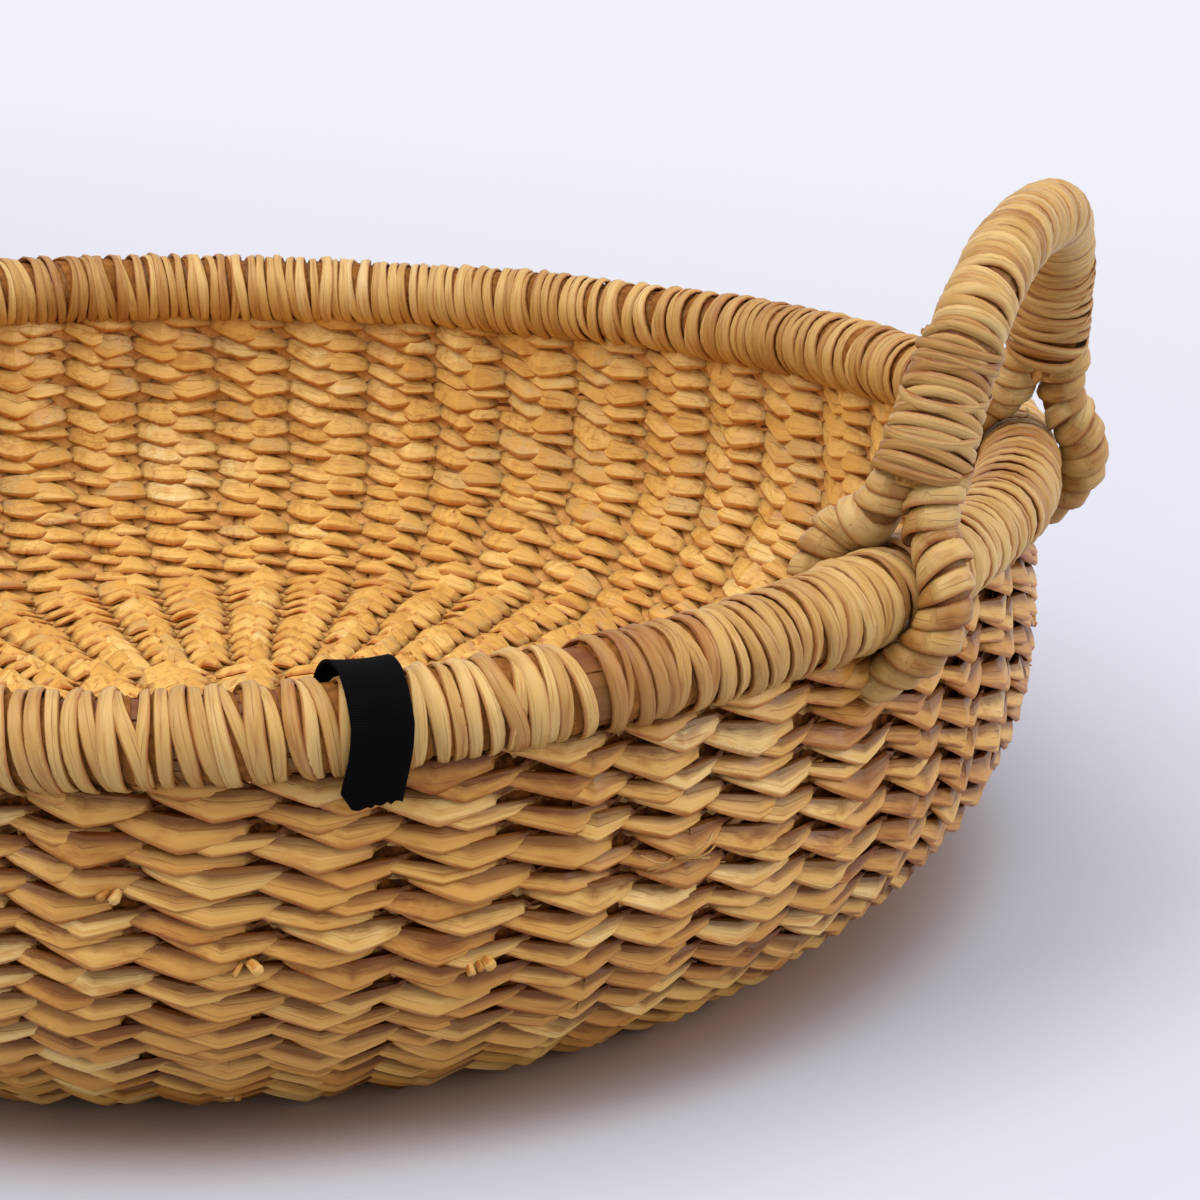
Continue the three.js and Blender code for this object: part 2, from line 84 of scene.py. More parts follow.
class Wire:
    """One output of a node. Arithmetic on it adds Math or Vector Math nodes to its sheet."""

    def __init__(self, sheet: "NodeSheet", socket: bpy.types.NodeSocket) -> None:
        """Keeps the output and the sheet that it belongs to."""
        self.sheet = sheet
        self.socket = socket

    @property
    def is_vector(self) -> bool:
        """True if the output carries three numbers."""
        return self.socket.type in {"VECTOR", "RGBA"}

    def parts(self) -> tuple["Wire", "Wire", "Wire"]:
        """The three numbers of a vector."""
        split = self.sheet.node("ShaderNodeSeparateXYZ", inputs={"Vector": self})
        return tuple(Wire(self.sheet, out) for out in split.outputs)

    def __neg__(self) -> "Wire":
        """The negative of self."""
        return self * -1.0

    __add__, __radd__ = adds("ADD"), adds("ADD", turned=True)
    __sub__, __rsub__ = adds("SUBTRACT"), adds("SUBTRACT", turned=True)
    __mul__, __rmul__ = adds("MULTIPLY"), adds("MULTIPLY", turned=True)
    __truediv__, __rtruediv__ = adds("DIVIDE"), adds("DIVIDE", turned=True)
    __pow__, __abs__ = adds("POWER"), adds("ABSOLUTE")
    floor, fract, sine, cosine = adds("FLOOR"), adds("FRACT"), adds("SINE"), adds("COSINE")
    at_least, at_most, above = adds("MAXIMUM"), adds("MINIMUM"), adds("GREATER_THAN")


class NodeSheet:
    """A node tree while it is being built."""

    def __init__(self, tree: bpy.types.NodeTree) -> None:
        """Keeps the tree."""
        self.tree = tree

    def node(self, kind: str, settings: Settings = None,
             inputs: Inputs = None) -> bpy.types.Node:
        """Adds a node.

        Args:
            kind: the node's type.
            settings: its properties, which are set first. "stops" are a colour ramp's.
            inputs: a value or a link for each socket, by its name or its number.

        Returns:
            The new node.
        """
        made = self.tree.nodes.new(kind)
        for name, value in (settings or {}).items():
            if name == "stops":
                self._set_stops(made.color_ramp, value)
            else:
                setattr(made, name, value)
        enabled = [socket for socket in made.inputs if socket.enabled]
        for key, value in (inputs or {}).items():
            if isinstance(key, int):
                socket = enabled[key]
            else:
                socket = next(s for s in enabled if s.name == key)
            self.plug(socket, value)
        return made

    def made(self, kind: str, settings: Settings = None,
             inputs: Inputs = None) -> Wire:
        """Adds a node and returns its first output."""
        return self.out(self.node(kind, settings, inputs))

    def plug(self, socket: bpy.types.NodeSocket, value: Value) -> None:
        """Links a wire to a socket, or sets the socket's own value."""
        if isinstance(value, Wire):
            self.tree.links.new(value.socket, socket)
        elif isinstance(value, Sequence) and not isinstance(value, str) and value and isinstance(value[0], Wire):
            for wire in value:
                self.tree.links.new(wire.socket, socket)
        else:
            socket.default_value = value

    def out(self, node: bpy.types.Node, name: str | int = 0) -> Wire:
        """An output of a node, by its name or its number, among those that its settings leave on."""
        enabled = [socket for socket in node.outputs if socket.enabled]
        if isinstance(name, int):
            return Wire(self, enabled[name])
        return Wire(self, next(s for s in enabled if s.name == name))

    def math(self, operation: str, *values: Value) -> Wire:
        """Adds a Math node, or a Vector Math node where one of the values is a vector."""
        vectors = [v for v in values if isinstance(v, (tuple, Vector)) or (isinstance(v, Wire) and v.is_vector)]
        if operation == "MULTIPLY" and len(vectors) == 1:
            scale = next(v for v in values if v is not vectors[0])
            return self.made("ShaderNodeVectorMath", {"operation": "SCALE"}, {"Vector": vectors[0], "Scale": scale})
        kind = "ShaderNodeVectorMath" if vectors else "ShaderNodeMath"
        return self.made(kind, {"operation": operation}, dict(enumerate(values)))

    def vector(self, x: Value, y: Value, z: Value) -> Wire:
        """Three numbers as one vector."""
        return self.made("ShaderNodeCombineXYZ", inputs={"X": x, "Y": y, "Z": z})

    def noise(self, place: Wire, scale: Value, detail: float = 2.0, roughness: float = 0.5) -> Wire:
        """A smooth random value about 0.5 at a place."""
        inputs = {"Vector": place, "Scale": scale, "Detail": detail, "Roughness": roughness}
        return self.made("ShaderNodeTexNoise", inputs=inputs)

    def span(self, value: Value, low: float, high: float, to_low: float = 0.0, to_high: float = 1.0) -> Wire:
        """Carries a value smoothly from one range to another, and holds it at the ends."""
        inputs = {0: value, 1: low, 2: high, 3: to_low, 4: to_high}
        return self.made("ShaderNodeMapRange", {"interpolation_type": "SMOOTHSTEP"}, inputs)

    def blend(self, share: Value, first: Value, second: Value, mode: str = "MIX") -> Wire:
        """Mixes two colours."""
        settings = {"data_type": "RGBA", "blend_type": mode}
        return self.made("ShaderNodeMix", settings, {"Factor": share, "A": first, "B": second})

    def attribute(self, name: str) -> Wire:
        """A number that the mesh holds at its points."""
        node = self.node("ShaderNodeAttribute", {"attribute_type": "GEOMETRY", "attribute_name": name})
        return self.out(node, "Fac")

    def place(self) -> Wire:
        """The Object coordinates."""
        return self.out(self.node("ShaderNodeTexCoord"), "Object")

    def surface(self, colour: Value, roughness: Value, gloss: float, height: Wire, strength: float,
                distance: float) -> None:
        """Ends a material with a bumped surface.

        Args:
            colour: its base colour.
            roughness: its roughness.
            gloss: its specular level.
            height: the bump's height.
            strength: the bump's strength.
            distance: the height's size in metres.
        """
        bump = self.made("ShaderNodeBump", inputs={"Strength": strength, "Distance": distance, "Height": height})
        inputs = {"Base Color": colour, "Roughness": roughness, "Normal": bump, "Specular IOR Level": gloss}
        shader = self.made("ShaderNodeBsdfPrincipled", inputs=inputs)
        self.node("ShaderNodeOutputMaterial", inputs={"Surface": shader})

    @staticmethod
    def _set_stops(ramp: bpy.types.ColorRamp, stops: Sequence[tuple[float, tuple]]) -> None:
        """Gives a colour ramp its stops."""
        while len(ramp.elements) < len(stops):
            ramp.elements.new(1.0)
        for element, (place, colour) in zip(ramp.elements, stops):
            element.position = place
            element.color = (*colour[:3], 1.0)


# Finishes


def srgb(red: float, green: float, blue: float) -> tuple[float, float, float, float]:
    """A colour as a screen shows it, from 0 to 255, as the light that Blender works in."""
    levels = (v / 255 for v in (red, green, blue))
    linear = [v / 12.92 if v <= 0.04045 else ((v + 0.055) / 1.055) ** 2.4 for v in levels]
    return (*linear, 1.0)


def blank(name: str) -> tuple[Material, NodeSheet]:
    """A new material and its empty sheet."""
    material = bpy.data.materials.new(name)
    material.use_nodes = True
    material.node_tree.nodes.clear()
    return material, NodeSheet(material.node_tree)


@dataclass(frozen=True)
class StrawFinish:
    """Dried elephant grass: smooth golden stalks with lengthwise folds, brown edges and a few flecks, with painted
    shade in its creases, edges and crevices.
    """

    name: str
    tones: tuple[tuple[float, Triple], ...]
    edge: Triple = (182, 108, 36)
    # The colour of painted shade in the creases, where the strands sink and under the strip above.
    deep: Triple = (84, 35, 5)
    fleck: Triple = (120, 94, 70)
    fleck_share: float = 0.55
    deep_share: float = 0.7
    tucked_share: float = 0.8
    edge_share: float = 0.7
    roughness: float = 0.38
    gloss: float = 0.22
    streak_length: float = 0.022
    streaks_across: float = 3.0
    stain_share: float = 0.34
    fold_share: float = 0.42
    fibre_share: float = 0.20
    patch_scale: float = 26.0
    relief: float = 0.00025
    bump: float = 0.7

    def build(self) -> Material:
        """Makes the material from the attributes that the looms leave on the strands."""
        material, sheet = blank(self.name)
        along, around, tone, depth = (sheet.attribute(n) for n in ("along", "around", "tone", "depth"))
        run = along / self.streak_length
        across = around * self.streaks_across
        streaks = sheet.noise(sheet.vector(run, across, tone * 61.0), 1.0, 3.0, 0.55)
        fibres = sheet.noise(sheet.vector(run * 1.6, across * 12.0, tone * 17.0), 1.0, 2.0)
        fold = self._fold(sheet, run, around, tone * 29.0, 0.36)
        fold = fold.at_least(self._fold(sheet, run, around, tone * 83.0 + 5.0, 0.66) * 0.7)
        patches = sheet.noise(sheet.place(), self.patch_scale, 2.0)
        specks = sheet.noise(sheet.vector(run * 14.0, across * 5.0, tone * 43.0), 1.0, 3.0, 0.7)
        rims = sheet.span(abs(around - 0.5), 0.14, 0.32)
        fleck = sheet.span(specks, 0.52, 0.62) * sheet.span(patches, 0.57, 0.64) * rims

        colour = sheet.made("ShaderNodeValToRGB", {"stops": [(p, srgb(*c)) for p, c in self.tones]},
                            {0: tone * 0.8 + 0.1 + (patches - 0.5) * 0.4 + (streaks - 0.5) * 0.35})
        # The strip's edges are darkened: partly browner straw, partly painted shade in the lines between strips.
        edges = sheet.span(abs(around - 0.5), 0.30, 0.5) * self.edge_share
        stained = sheet.span(streaks, 0.52, 0.28) * self.stain_share
        browned = sheet.blend((edges + stained).at_most(1.0), colour, srgb(*self.edge), "MULTIPLY")
        flecked = sheet.blend(fleck * self.fleck_share, browned, srgb(*self.fleck))
        # Painted shade in the creases.
        creased = sheet.blend(fold * self.fold_share, flecked, srgb(*self.deep))
        fibred = sheet.blend(sheet.span(fibres, 0.60, 0.40, 0.0, self.fibre_share), creased, srgb(*self.edge))
        # Painted shadow towards the edge tucked under the strip above, and painted shade where the strands sink.
        shadow = sheet.span(around + (fibres - 0.5) * 0.14 + (streaks - 0.5) * 0.3, 0.66, 0.20)
        tuck_shadow = shadow * sheet.attribute("tucked") * self.tucked_share
        crevice_shaded = sheet.blend((depth * self.deep_share + tuck_shadow).at_most(0.9), fibred, srgb(*self.deep))

        height = streaks * 0.7 + fibres * 0.14 - fold * 0.5
        roughness = self.roughness + (streaks - 0.5) * 0.3 + depth * 0.2
        sheet.surface(crevice_shaded, roughness, self.gloss, height, self.bump, self.relief)
        return material

    @staticmethod
    def _fold(sheet: NodeSheet, run: Wire, around: Wire, lane: Wire, middle: float) -> Wire:
        """A fine crease that wanders along a stalk and fades in and out."""
        wander = sheet.noise(sheet.vector(run * 0.35, lane, 0.0), 1.0, 1.0) - 0.5
        present = sheet.noise(sheet.vector(run * 0.8, lane, 7.0), 1.0, 0.0)
        off = abs(around - middle - wander * 0.7)
        return (1.0 - sheet.span(off, 0.004, 0.030)) * sheet.span(present, 0.44, 0.58)


@dataclass(frozen=True)
class SolidStrawFinish:
    """The straw of the pieces that show only through gaps: stakes, packing, cores and the rim's under layer."""

    name: str
    light: Triple
    dark: Triple
    grain: float = 420.0
    gloss: float = 0.05
    relief: float = 0.0003
    bump: float = 0.6

    def build(self) -> Material:
        """Makes the material on Object coordinates."""
        material, sheet = blank(self.name)
        grain = sheet.noise(sheet.place(), self.grain, 4.0, 0.65)
        colour = sheet.blend(sheet.span(grain, 0.35, 0.68), srgb(*self.dark), srgb(*self.light))
        sheet.surface(colour, 0.55 + grain * 0.25, self.gloss, grain, self.bump, self.relief)
        return material


@dataclass(frozen=True)
class RibbonCloth:
    """Black woven ribbon, a little worn, with a fine cross rib."""

    name: str = "black_ribbon_cloth"
    colour: Triple = (2, 2, 3)
    worn: Triple = (14, 14, 15)
    gloss: float = 0.06
    ribs_along: float = 900.0
    ribs_across: float = 260.0
    relief: float = 0.0002
    bump: float = 0.6

    def build(self) -> Material:
        """Makes the material from the ribbon's own attributes."""
        material, sheet = blank(self.name)
        across, run = sheet.attribute("across"), sheet.attribute("run")
        ribs = (run * self.ribs_along).sine() * 0.5 + (across * self.ribs_across).sine() * 0.5
        fuzz = sheet.noise(sheet.vector(across * 60.0, run * 300.0, 0.0), 1.0, 3.0, 0.7)
        wear = sheet.span(fuzz + abs(across - 0.5) * 0.25, 0.62, 0.80)
        colour = sheet.blend(wear * 0.7, srgb(*self.colour), srgb(*self.worn))
        sheet.surface(colour, 0.75 + fuzz * 0.2, self.gloss, ribs + fuzz, self.bump, self.relief)
        return material


# Looms: Geometry Nodes that weave and wind


class DialKind(Enum):
    """The kinds of size that a loom takes."""

    LENGTH = "NodeSocketFloat"
    COUNT = "NodeSocketInt"
    DIRECTION = "NodeSocketVector"
    FINISH = "NodeSocketMaterial"


def stand(name: str, data: bpy.types.ID) -> Object:
    """A new object in the scene."""
    thing = bpy.data.objects.new(name, data)
    bpy.context.scene.collection.objects.link(thing)
    return thing


class Loom(NodeSheet):
    """A Geometry Nodes tree with named sizes, which grows strands over a guide mesh."""

    def __init__(self, name: str) -> None:
        """Starts an empty tree with its geometry input and output."""
        super().__init__(bpy.data.node_groups.new(name, "GeometryNodeTree"))
        self.dials: dict[str, str] = {}
        for way in ("INPUT", "OUTPUT"):
            self.tree.interface.new_socket("Geometry", in_out=way, socket_type="NodeSocketGeometry")
        self.entry = self.tree.nodes.new("NodeGroupInput")

    def guide(self) -> Wire:
        """The guide mesh's lines as a curve."""
        return self.shape("MeshToCurve", Mesh=self.out(self.entry, "Geometry"))

    def dial(self, *names: str, kind: DialKind = DialKind.LENGTH) -> list[Wire]:
        """Adds named sizes of one kind to the tree and returns their wires."""
        for name in names:
            made = self.tree.interface.new_socket(name, in_out="INPUT", socket_type=kind.value)
            self.dials[name] = made.identifier
        return [self.out(self.entry, name) for name in names]

    def shape(self, kind: str, settings: Settings = None, **inputs: Value) -> Wire:
        """Adds a geometry node. An underscore in an input's name stands for a space."""
        named = {name.replace("_", " "): value for name, value in inputs.items()}
        return self.made(f"GeometryNode{kind}", settings, named)

    def store(self, geometry: Wire, **facts: Value) -> Wire:
        """Stores numbers on each point of a geometry, each under its name."""
        for name, value in facts.items():
            inputs = {"Geometry": geometry, "Name": name, "Value": value}
            geometry = self.made("GeometryNodeStoreNamedAttribute", {"domain": "POINT"}, inputs)
        return geometry

    def chance(self, number: Wire, seed: Value, low: float = 0.0, high: float = 1.0) -> Wire:
        """A random value that belongs to a whole number."""
        inputs = {"Min": low, "Max": high, "ID": number, "Seed": seed}
        return self.made("FunctionNodeRandomValue", {"data_type": "FLOAT"}, inputs)

    def sample(self, curve: Wire, length: Wire, value: Value = 0.0) -> tuple[Wire, Wire, Wire]:
        """A number, the place and the heading of a curve at a length along it."""
        inputs = {"Curves": curve, "Length": length, "Value": value}
        spot = self.node("GeometryNodeSampleCurve", {"mode": "LENGTH"}, inputs)
        return tuple(self.out(spot, name) for name in ("Value", "Position", "Tangent"))

    def fact(self, name: str) -> Wire:
        """A number that the guide's points hold."""
        return self.shape("InputNamedAttribute", Name=name)

    def unit(self, vector: Wire) -> Wire:
        """A vector cut to length 1."""
        return self.made("ShaderNodeVectorMath", {"operation": "NORMALIZE"}, {0: vector})

    def cross(self, first: Value, second: Value) -> Wire:
        """The vector square to two others."""
        return self.made("ShaderNodeVectorMath", {"operation": "CROSS_PRODUCT"}, {0: first, 1: second})

    def section(self, sides: int, across: Wire, along: Wire, squareness: Value) -> Wire:
        """A strand's section: an oval between round and square.

        Args:
            sides: how many points it has.
            across: half its size square to the surface that the strand lies on.
            along: half its size in line with that surface.
            squareness: 2 for an oval, and more for fuller corners.

        Returns:
            The closed curve, with "around" stored from 0 at one edge to 1 at the other.
        """
        circle = self.shape("CurvePrimitiveCircle", Resolution=sides, Radius=1.0)
        turn = self.shape("InputIndex") * (FULL_TURN / sides)
        cosine, sine = turn.cosine(), turn.sine()
        fullness = (abs(cosine) ** squareness + abs(sine) ** squareness) ** (-1.0 / squareness)
        place = self.vector(cosine * fullness * across, sine * fullness * along, 0.0)
        return self.store(self.shape("SetPosition", Geometry=circle, Position=place), around=(sine + 1.0) * 0.5)

    def sweep(self, curve: Wire, profile: Wire, facing: Wire, tilt: Value, scale: Value) -> Wire:
        """Draws a section along a curve, with the section's first axis turned to face a direction."""
        turned = self.shape("SetCurveNormal", {"mode": "FREE"}, Curve=curve, Normal=facing)
        tilted = self.shape("SetCurveTilt", Curve=turned, Tilt=tilt)
        return self.shape("CurveToMesh", Curve=tilted, Profile_Curve=profile, Scale=scale, Fill_Caps=True)

    def finish(self, geometry: Wire, material: Wire, crease: float) -> None:
        """Ends the tree: smooth but for the edges sharper than the crease angle, real and with its material."""
        smooth = self.shape("SetShadeSmooth", Geometry=geometry)
        blunt = 1.0 - self.shape("InputMeshEdgeAngle").above(crease)
        creased = self.shape("SetShadeSmooth", {"domain": "EDGE"}, Geometry=smooth, Shade_Smooth=blunt)
        real = self.shape("RealizeInstances", Geometry=creased)
        self.node("NodeGroupOutput", inputs={"Geometry": self.shape("SetMaterial", Geometry=real, Material=material)})

    def grow(self, name: str, guide: Mesh, sizes: Mapping[str, Value]) -> Object:
        """Runs the tree over a guide and keeps the result as a plain mesh.

        Args:
            name: the new piece's name.
            guide: the mesh whose lines the tree follows.
            sizes: a value for each of the tree's dials.

        Returns:
            The piece, at the origin.
        """
        carrier = stand(f"{name}_guide", guide)
        modifier = carrier.modifiers.new("loom", "NODES")
        modifier.node_group = self.tree
        for dial, identifier in self.dials.items():
            modifier[identifier] = sizes[dial]
        graph = bpy.context.evaluated_depsgraph_get()
        evaluated = carrier.evaluated_get(graph)
        mesh = bpy.data.meshes.new_from_object(evaluated, preserve_all_data_layers=True, depsgraph=graph)
        carrier.modifiers.remove(modifier)
        bpy.data.objects.remove(carrier)
        mesh.name = name
        return stand(name, mesh)


class TwiningLoom(Loom):
    """Twines two weavers, each of two plies, round a ring of stakes, course on course.

    The guide is the outline of the bowl's outer face in radius and height, from the middle of the
    base to the top of the wall. Each weaver's two plies are a strand each.
    """

    STRANDS = 4
    SIDES = 8
    SQUARENESS = 2.8
    CREASE = 0.38
    START_ANGLE = math.radians(200)
    STEP_UP = 0.05  # the share of a round in which a weaver climbs to the next course
    DWELL = 0.75  # how strongly a ply's points gather at the stakes
    EARLIER = 400.0  # whole stitches, an even number, that keep the count above 0
    WAVER = 0.0024  # how far whole courses stray
    LIFT = 0.0013  # how far single stitches stray
    DRIFT = 0.5  # how far the stakes stray sideways, in shares of their spacing
    UNEVEN_REACH, UNEVEN_GIRTH, UNEVEN_TILT = 0.16, 0.30, 0.24  # how far single stitches differ
    APART = (0.48, 0.18)  # how far a weaver's plies lie apart at a stitch's ends, and what its middle adds
    GIRTH = (0.36, 0.70, 0.32)  # a ply's girth at a stitch's ends, what its middle adds, and what the inside adds
    FAR = 7919.0  # keeps the strands' chances apart

    def __init__(self) -> None:
        """Builds the tree."""
        super().__init__("twined_weave")
        outline = self.guide()
        start, pitch, half_height, half_depth, slant = self.dial(
            "Start", "Course Pitch", "Ply Half Height", "Ply Half Depth", "Slant Rise")
        lag, dip, hold, shingle, twist = self.dial("Ply Lag", "Dip", "Hold", "Shingle", "Twist")
        thickness, saddle, wall_top = self.dial("Wall Thickness", "Rim Saddle", "Wall Top")
        courses, stakes, steps, seed = self.dial("Courses", "Stakes", "Steps", "Seed", kind=DialKind.COUNT)
        material, = self.dial("Straw", kind=DialKind.FINISH)

        # Which strand a point belongs to, and how far along it the point is
        count = stakes * steps * courses + 1.0
        points = self.shape("Points", Count=count * self.STRANDS)
        index = self.shape("InputIndex")
        strand = ((index + 0.5) / count).floor()
        step = index - strand * count
        weaver = (strand * 0.5).floor()
        hand = 1.0 - (strand - weaver * 2.0) * 2.0

        # A ply dwells behind and before each stake. The two plies of a weaver lie apart by their lag.
        even = step / steps
        even = even - (even * (2 * FULL_TURN)).sine() * (self.DWELL / (2 * FULL_TURN))
        stitches = even - hand * lag
        turn = stitches / stakes
        level = (turn.floor() + self.span(turn.fract(), 0.0, self.STEP_UP) - 1.0).at_least(0.0)
        angle = (turn - 0.5 / stakes) * FULL_TURN + self.START_ANGLE
        ring = self.vector(angle.cosine(), angle.sine(), 0.0)
        drift = self.noise(ring * 5.0 + self.vector(0.0, 0.0, level * 0.1), 1.0, 1.0) - 0.5
        waver = self.noise(ring * 2.4 + self.vector(7.0, 3.0, level * 0.55), 1.0, 2.0) - 0.5

        # Where in its stitch the point is: outside a stake or inside it, and how near to the stake
        phase = even + weaver + self.EARLIER
        number = (phase + 0.001).floor()
        share = phase - number
        outside = 1.0 - (number - (number * 0.5).floor() * 2.0) * 2.0
        inner = 0.5 - outside * 0.5
        key = number + strand * self.FAR
        fat = self.chance(number + weaver * self.FAR, seed, -1.0, 1.0) * hand
        lift = self.chance(key, seed + 11.0, -1.0, 1.0)
        bow = self.chance(key, seed + 23.0, -1.0, 1.0)
        tone = self.chance(key, seed + 37.0)
        aside = share * 2.0 - 1.0
        bend = 1.0 - abs(aside) * (0.8 - outside * hold) - abs(aside) ** 4.0 * 0.2
        hump = abs(bend)
        behind = inner * self.span(bend, 0.02, 0.3)

        # Its depth under the outer face, its length along the outline and its place round the axis
        reach = thickness * 0.5 - half_depth
        sink = thickness * 0.5 - outside * bend * reach * (1.0 + bow * self.UNEVEN_REACH)
        slope = outside * (1.0 - share * 2.0) * slant - (1.0 - abs(aside)) * dip * (1.0 - inner * 0.7)
        apart, further = self.APART
        spread = (hand - fat * hand * self.UNEVEN_GIRTH) * half_height * (hump * further + apart)
        wander = waver * self.WAVER + lift * hump * self.LIFT
        _, place, heading = self.sample(outline, start + level * pitch + slope + spread + wander)
        radius, _, height = place.parts()
        run, _, rise = heading.parts()
        flat_radius = radius - rise * sink
        lifted = height + run * sink
        climb = (lifted / wall_top).at_least(0.0).at_most(1.0)
        raised = lifted + saddle * (angle * 2.0).cosine() * climb * climb
        swung = angle + drift * self.DRIFT * FULL_TURN / stakes
        place = self.vector(swung.cosine() * flat_radius, swung.sine() * flat_radius, raised)
        facing = self.vector(swung.cosine() * rise, swung.sine() * rise, -run)

        # What the straw finish reads, and the plies themselves
        placed = self.store(
            self.shape("SetPosition", Geometry=points, Position=place),
            along=stitches * FULL_TURN * flat_radius / stakes,
            # Painted light: the inner faces take lighter tones than the outer ones.
            tone=tone * (0.56 - behind * 0.20) + behind * 0.64,
            # Painted shade: darker towards the stitch ends, where the plies sink into the wall.
            depth=self.span(hump, 0.48, 0.04) * (1.0 - behind * 0.7),
            # Where the finish paints the shadow under the course above: mostly on the outer faces.
            tucked=1.0 - behind * 0.85,
        )
        curves = self.shape("PointsToCurves", Points=placed, Curve_Group_ID=strand)
        profile = self.section(self.SIDES, half_depth, half_height, self.SQUARENESS)
        ends, middle, inside = self.GIRTH
        girth = (ends + middle * hump + behind * inside) * (1.0 + fat * self.UNEVEN_GIRTH)
        tilt = outside * (aside * twist - shingle + bow * self.UNEVEN_TILT)
        self.finish(self.sweep(curves, profile, facing, tilt, girth), material, self.CREASE)


class WindingLoom(Loom):
    """Winds one strip round a path, turn by turn, over a plain core, which is darkened as painted shade.

    The guide is the path. Its points hold "girth", the distance of the strip's middle from the
    path, "spread", what is added to that across the path's plane, "shade", from 0 for pale strip
    to 1 for brown, and "part", how far the wraps are pushed along the path.
    """

    SIDES = 8
    CREASE = 0.85
    CORE_SIDES = 12
    START_TURN = 0.75  # where round the path the strip begins
    TURN_LENGTH = 0.07  # the strip's grain per turn
    # The core is darkened as painted shade for what shows between the wraps.
    CORE_DEPTH = 0.75  # how dark the core is
    SHAKE = 0.9  # how fast the strip's unevenness changes from turn to turn
    SEED_STEP = 3.7  # keeps the pieces' unevenness apart
    UNEVEN_WIDTH, UNEVEN_REACH = 0.9, 1.5  # how far the strip's width and its height over the core differ
    TUCK = 0.2  # how far round from the sides of the path, as an angle, the strip is narrowest

    def __init__(self) -> None:
        """Builds the tree."""
        super().__init__("wound_strip")
        path = self.guide()
        across, = self.dial("Across", kind=DialKind.DIRECTION)
        pitch, half_width, half_thickness, lean, wobble = self.dial(
            "Pitch", "Half Width", "Half Thickness", "Lean", "Wobble")
        shingle, fullness, narrowing, rolling, core_share = self.dial(
            "Shingle", "Fullness", "Narrowing", "Roll", "Core Share")
        steps, seed = self.dial("Steps", "Seed", kind=DialKind.COUNT)
        material, = self.dial("Straw", kind=DialKind.FINISH)

        # How far round and along the path each point of the strip is
        whole = self.shape("CurveLength", Curve=path)
        turns = (whole / pitch).floor()
        points = self.shape("Points", Count=turns * steps + 1.0)
        turn = self.shape("InputIndex") / steps
        number = turn.floor()
        around = (turn + self.START_TURN) * FULL_TURN
        shaken = self.vector(turn * self.SHAKE, seed * self.SEED_STEP, 0.0)
        sway = self.noise(shaken, 1.0, 1.0) - 0.5
        swell = self.noise(shaken + (0.0, 0.0, 9.0), 2.3, 1.0) - 0.5
        roll = self.noise(shaken + (0.0, 0.0, 21.0), 1.6, 1.0) - 0.5
        slide = around.cosine() * lean + sway * wobble * 2.0 * (around + 0.6).sine() * (1.0 + swell)
        girth, spread, shade, part = (self.fact(n) for n in ("girth", "spread", "shade", "part"))
        even = turn / turns * whole
        travelled = (even + slide + self.sample(path, even, part)[0]).at_least(0.0).at_most(whole)

        # Its place beside the path
        girth_here, centre, heading = self.sample(path, travelled, girth)
        wide, brown = (self.sample(path, travelled, fact)[0] for fact in (spread, shade))
        inward = self.unit(self.cross(across, heading))
        sideways = self.unit(self.cross(heading, inward))
        reach = girth_here + swell * half_thickness * self.UNEVEN_REACH
        offset = inward * (around.cosine() * reach) + sideways * (around.sine() * (reach + wide))

        # What the straw finish reads, and the strip itself
        tuck = abs((around + self.TUCK).sine()) ** 3.0
        placed = self.store(
            self.shape("SetPosition", Geometry=points, Position=centre + offset),
            along=turn * self.TURN_LENGTH,
            tone=self.chance(number + seed * 613.0, seed + 5.0) * (1.0 - brown * 0.8),
            # Painted shade where the strip narrows at the sides of the path, and darker where the guide's shade makes
            # it browner.
            depth=tuck * narrowing * 0.6 + brown * 0.3,
        )
        curve = self.shape("PointsToCurves", Points=placed)
        profile = self.section(self.SIDES, half_thickness, half_width, fullness)
        size = (1.0 + swell * self.UNEVEN_WIDTH) * (1.0 - tuck * narrowing)
        strip = self.sweep(curve, profile, self.unit(offset), shingle + roll * rolling, size)

        ring = self.section(self.CORE_SIDES, 1.0, 1.0, 2.0)
        dark = self.store(path, depth=self.CORE_DEPTH, along=0.0)
        core = self.shape("CurveToMesh", Curve=dark, Profile_Curve=ring, Scale=girth * core_share, Fill_Caps=True)
        self.finish(self.shape("JoinGeometry", Geometry=[strip, core]), material, self.CREASE)


# The basket's parts


def respaced(points: Line, count: int) -> list[Vector]:
    """Evenly spaced points along a line, from its first corner to its last."""
    lengths = [0.0]
    for a, b in zip(points, points[1:]):
        lengths.append(lengths[-1] + (b - a).length)
    made, k = [], 0
    for i in range(count + 1):
        goal = lengths[-1] * i / count
        while k < len(points) - 2 and lengths[k + 1] < goal:
            k += 1
        share = (goal - lengths[k]) / max(lengths[k + 1] - lengths[k], 1e-12)
        made.append(points[k].lerp(points[k + 1], min(max(share, 0.0), 1.0)))
    return made


def smoothed(line: list[Vector], times: int) -> list[Vector]:
    """A line with its corners rounded and its ends kept."""
    for _ in range(times):
        line[1:-1] = [(a + 2 * b + c) / 4 for a, b, c in zip(line, line[1:], line[2:])]
    return line


def length_of(line: Line) -> float:
    """A line's length."""
    return sum((b - a).length for a, b in zip(line, line[1:]))


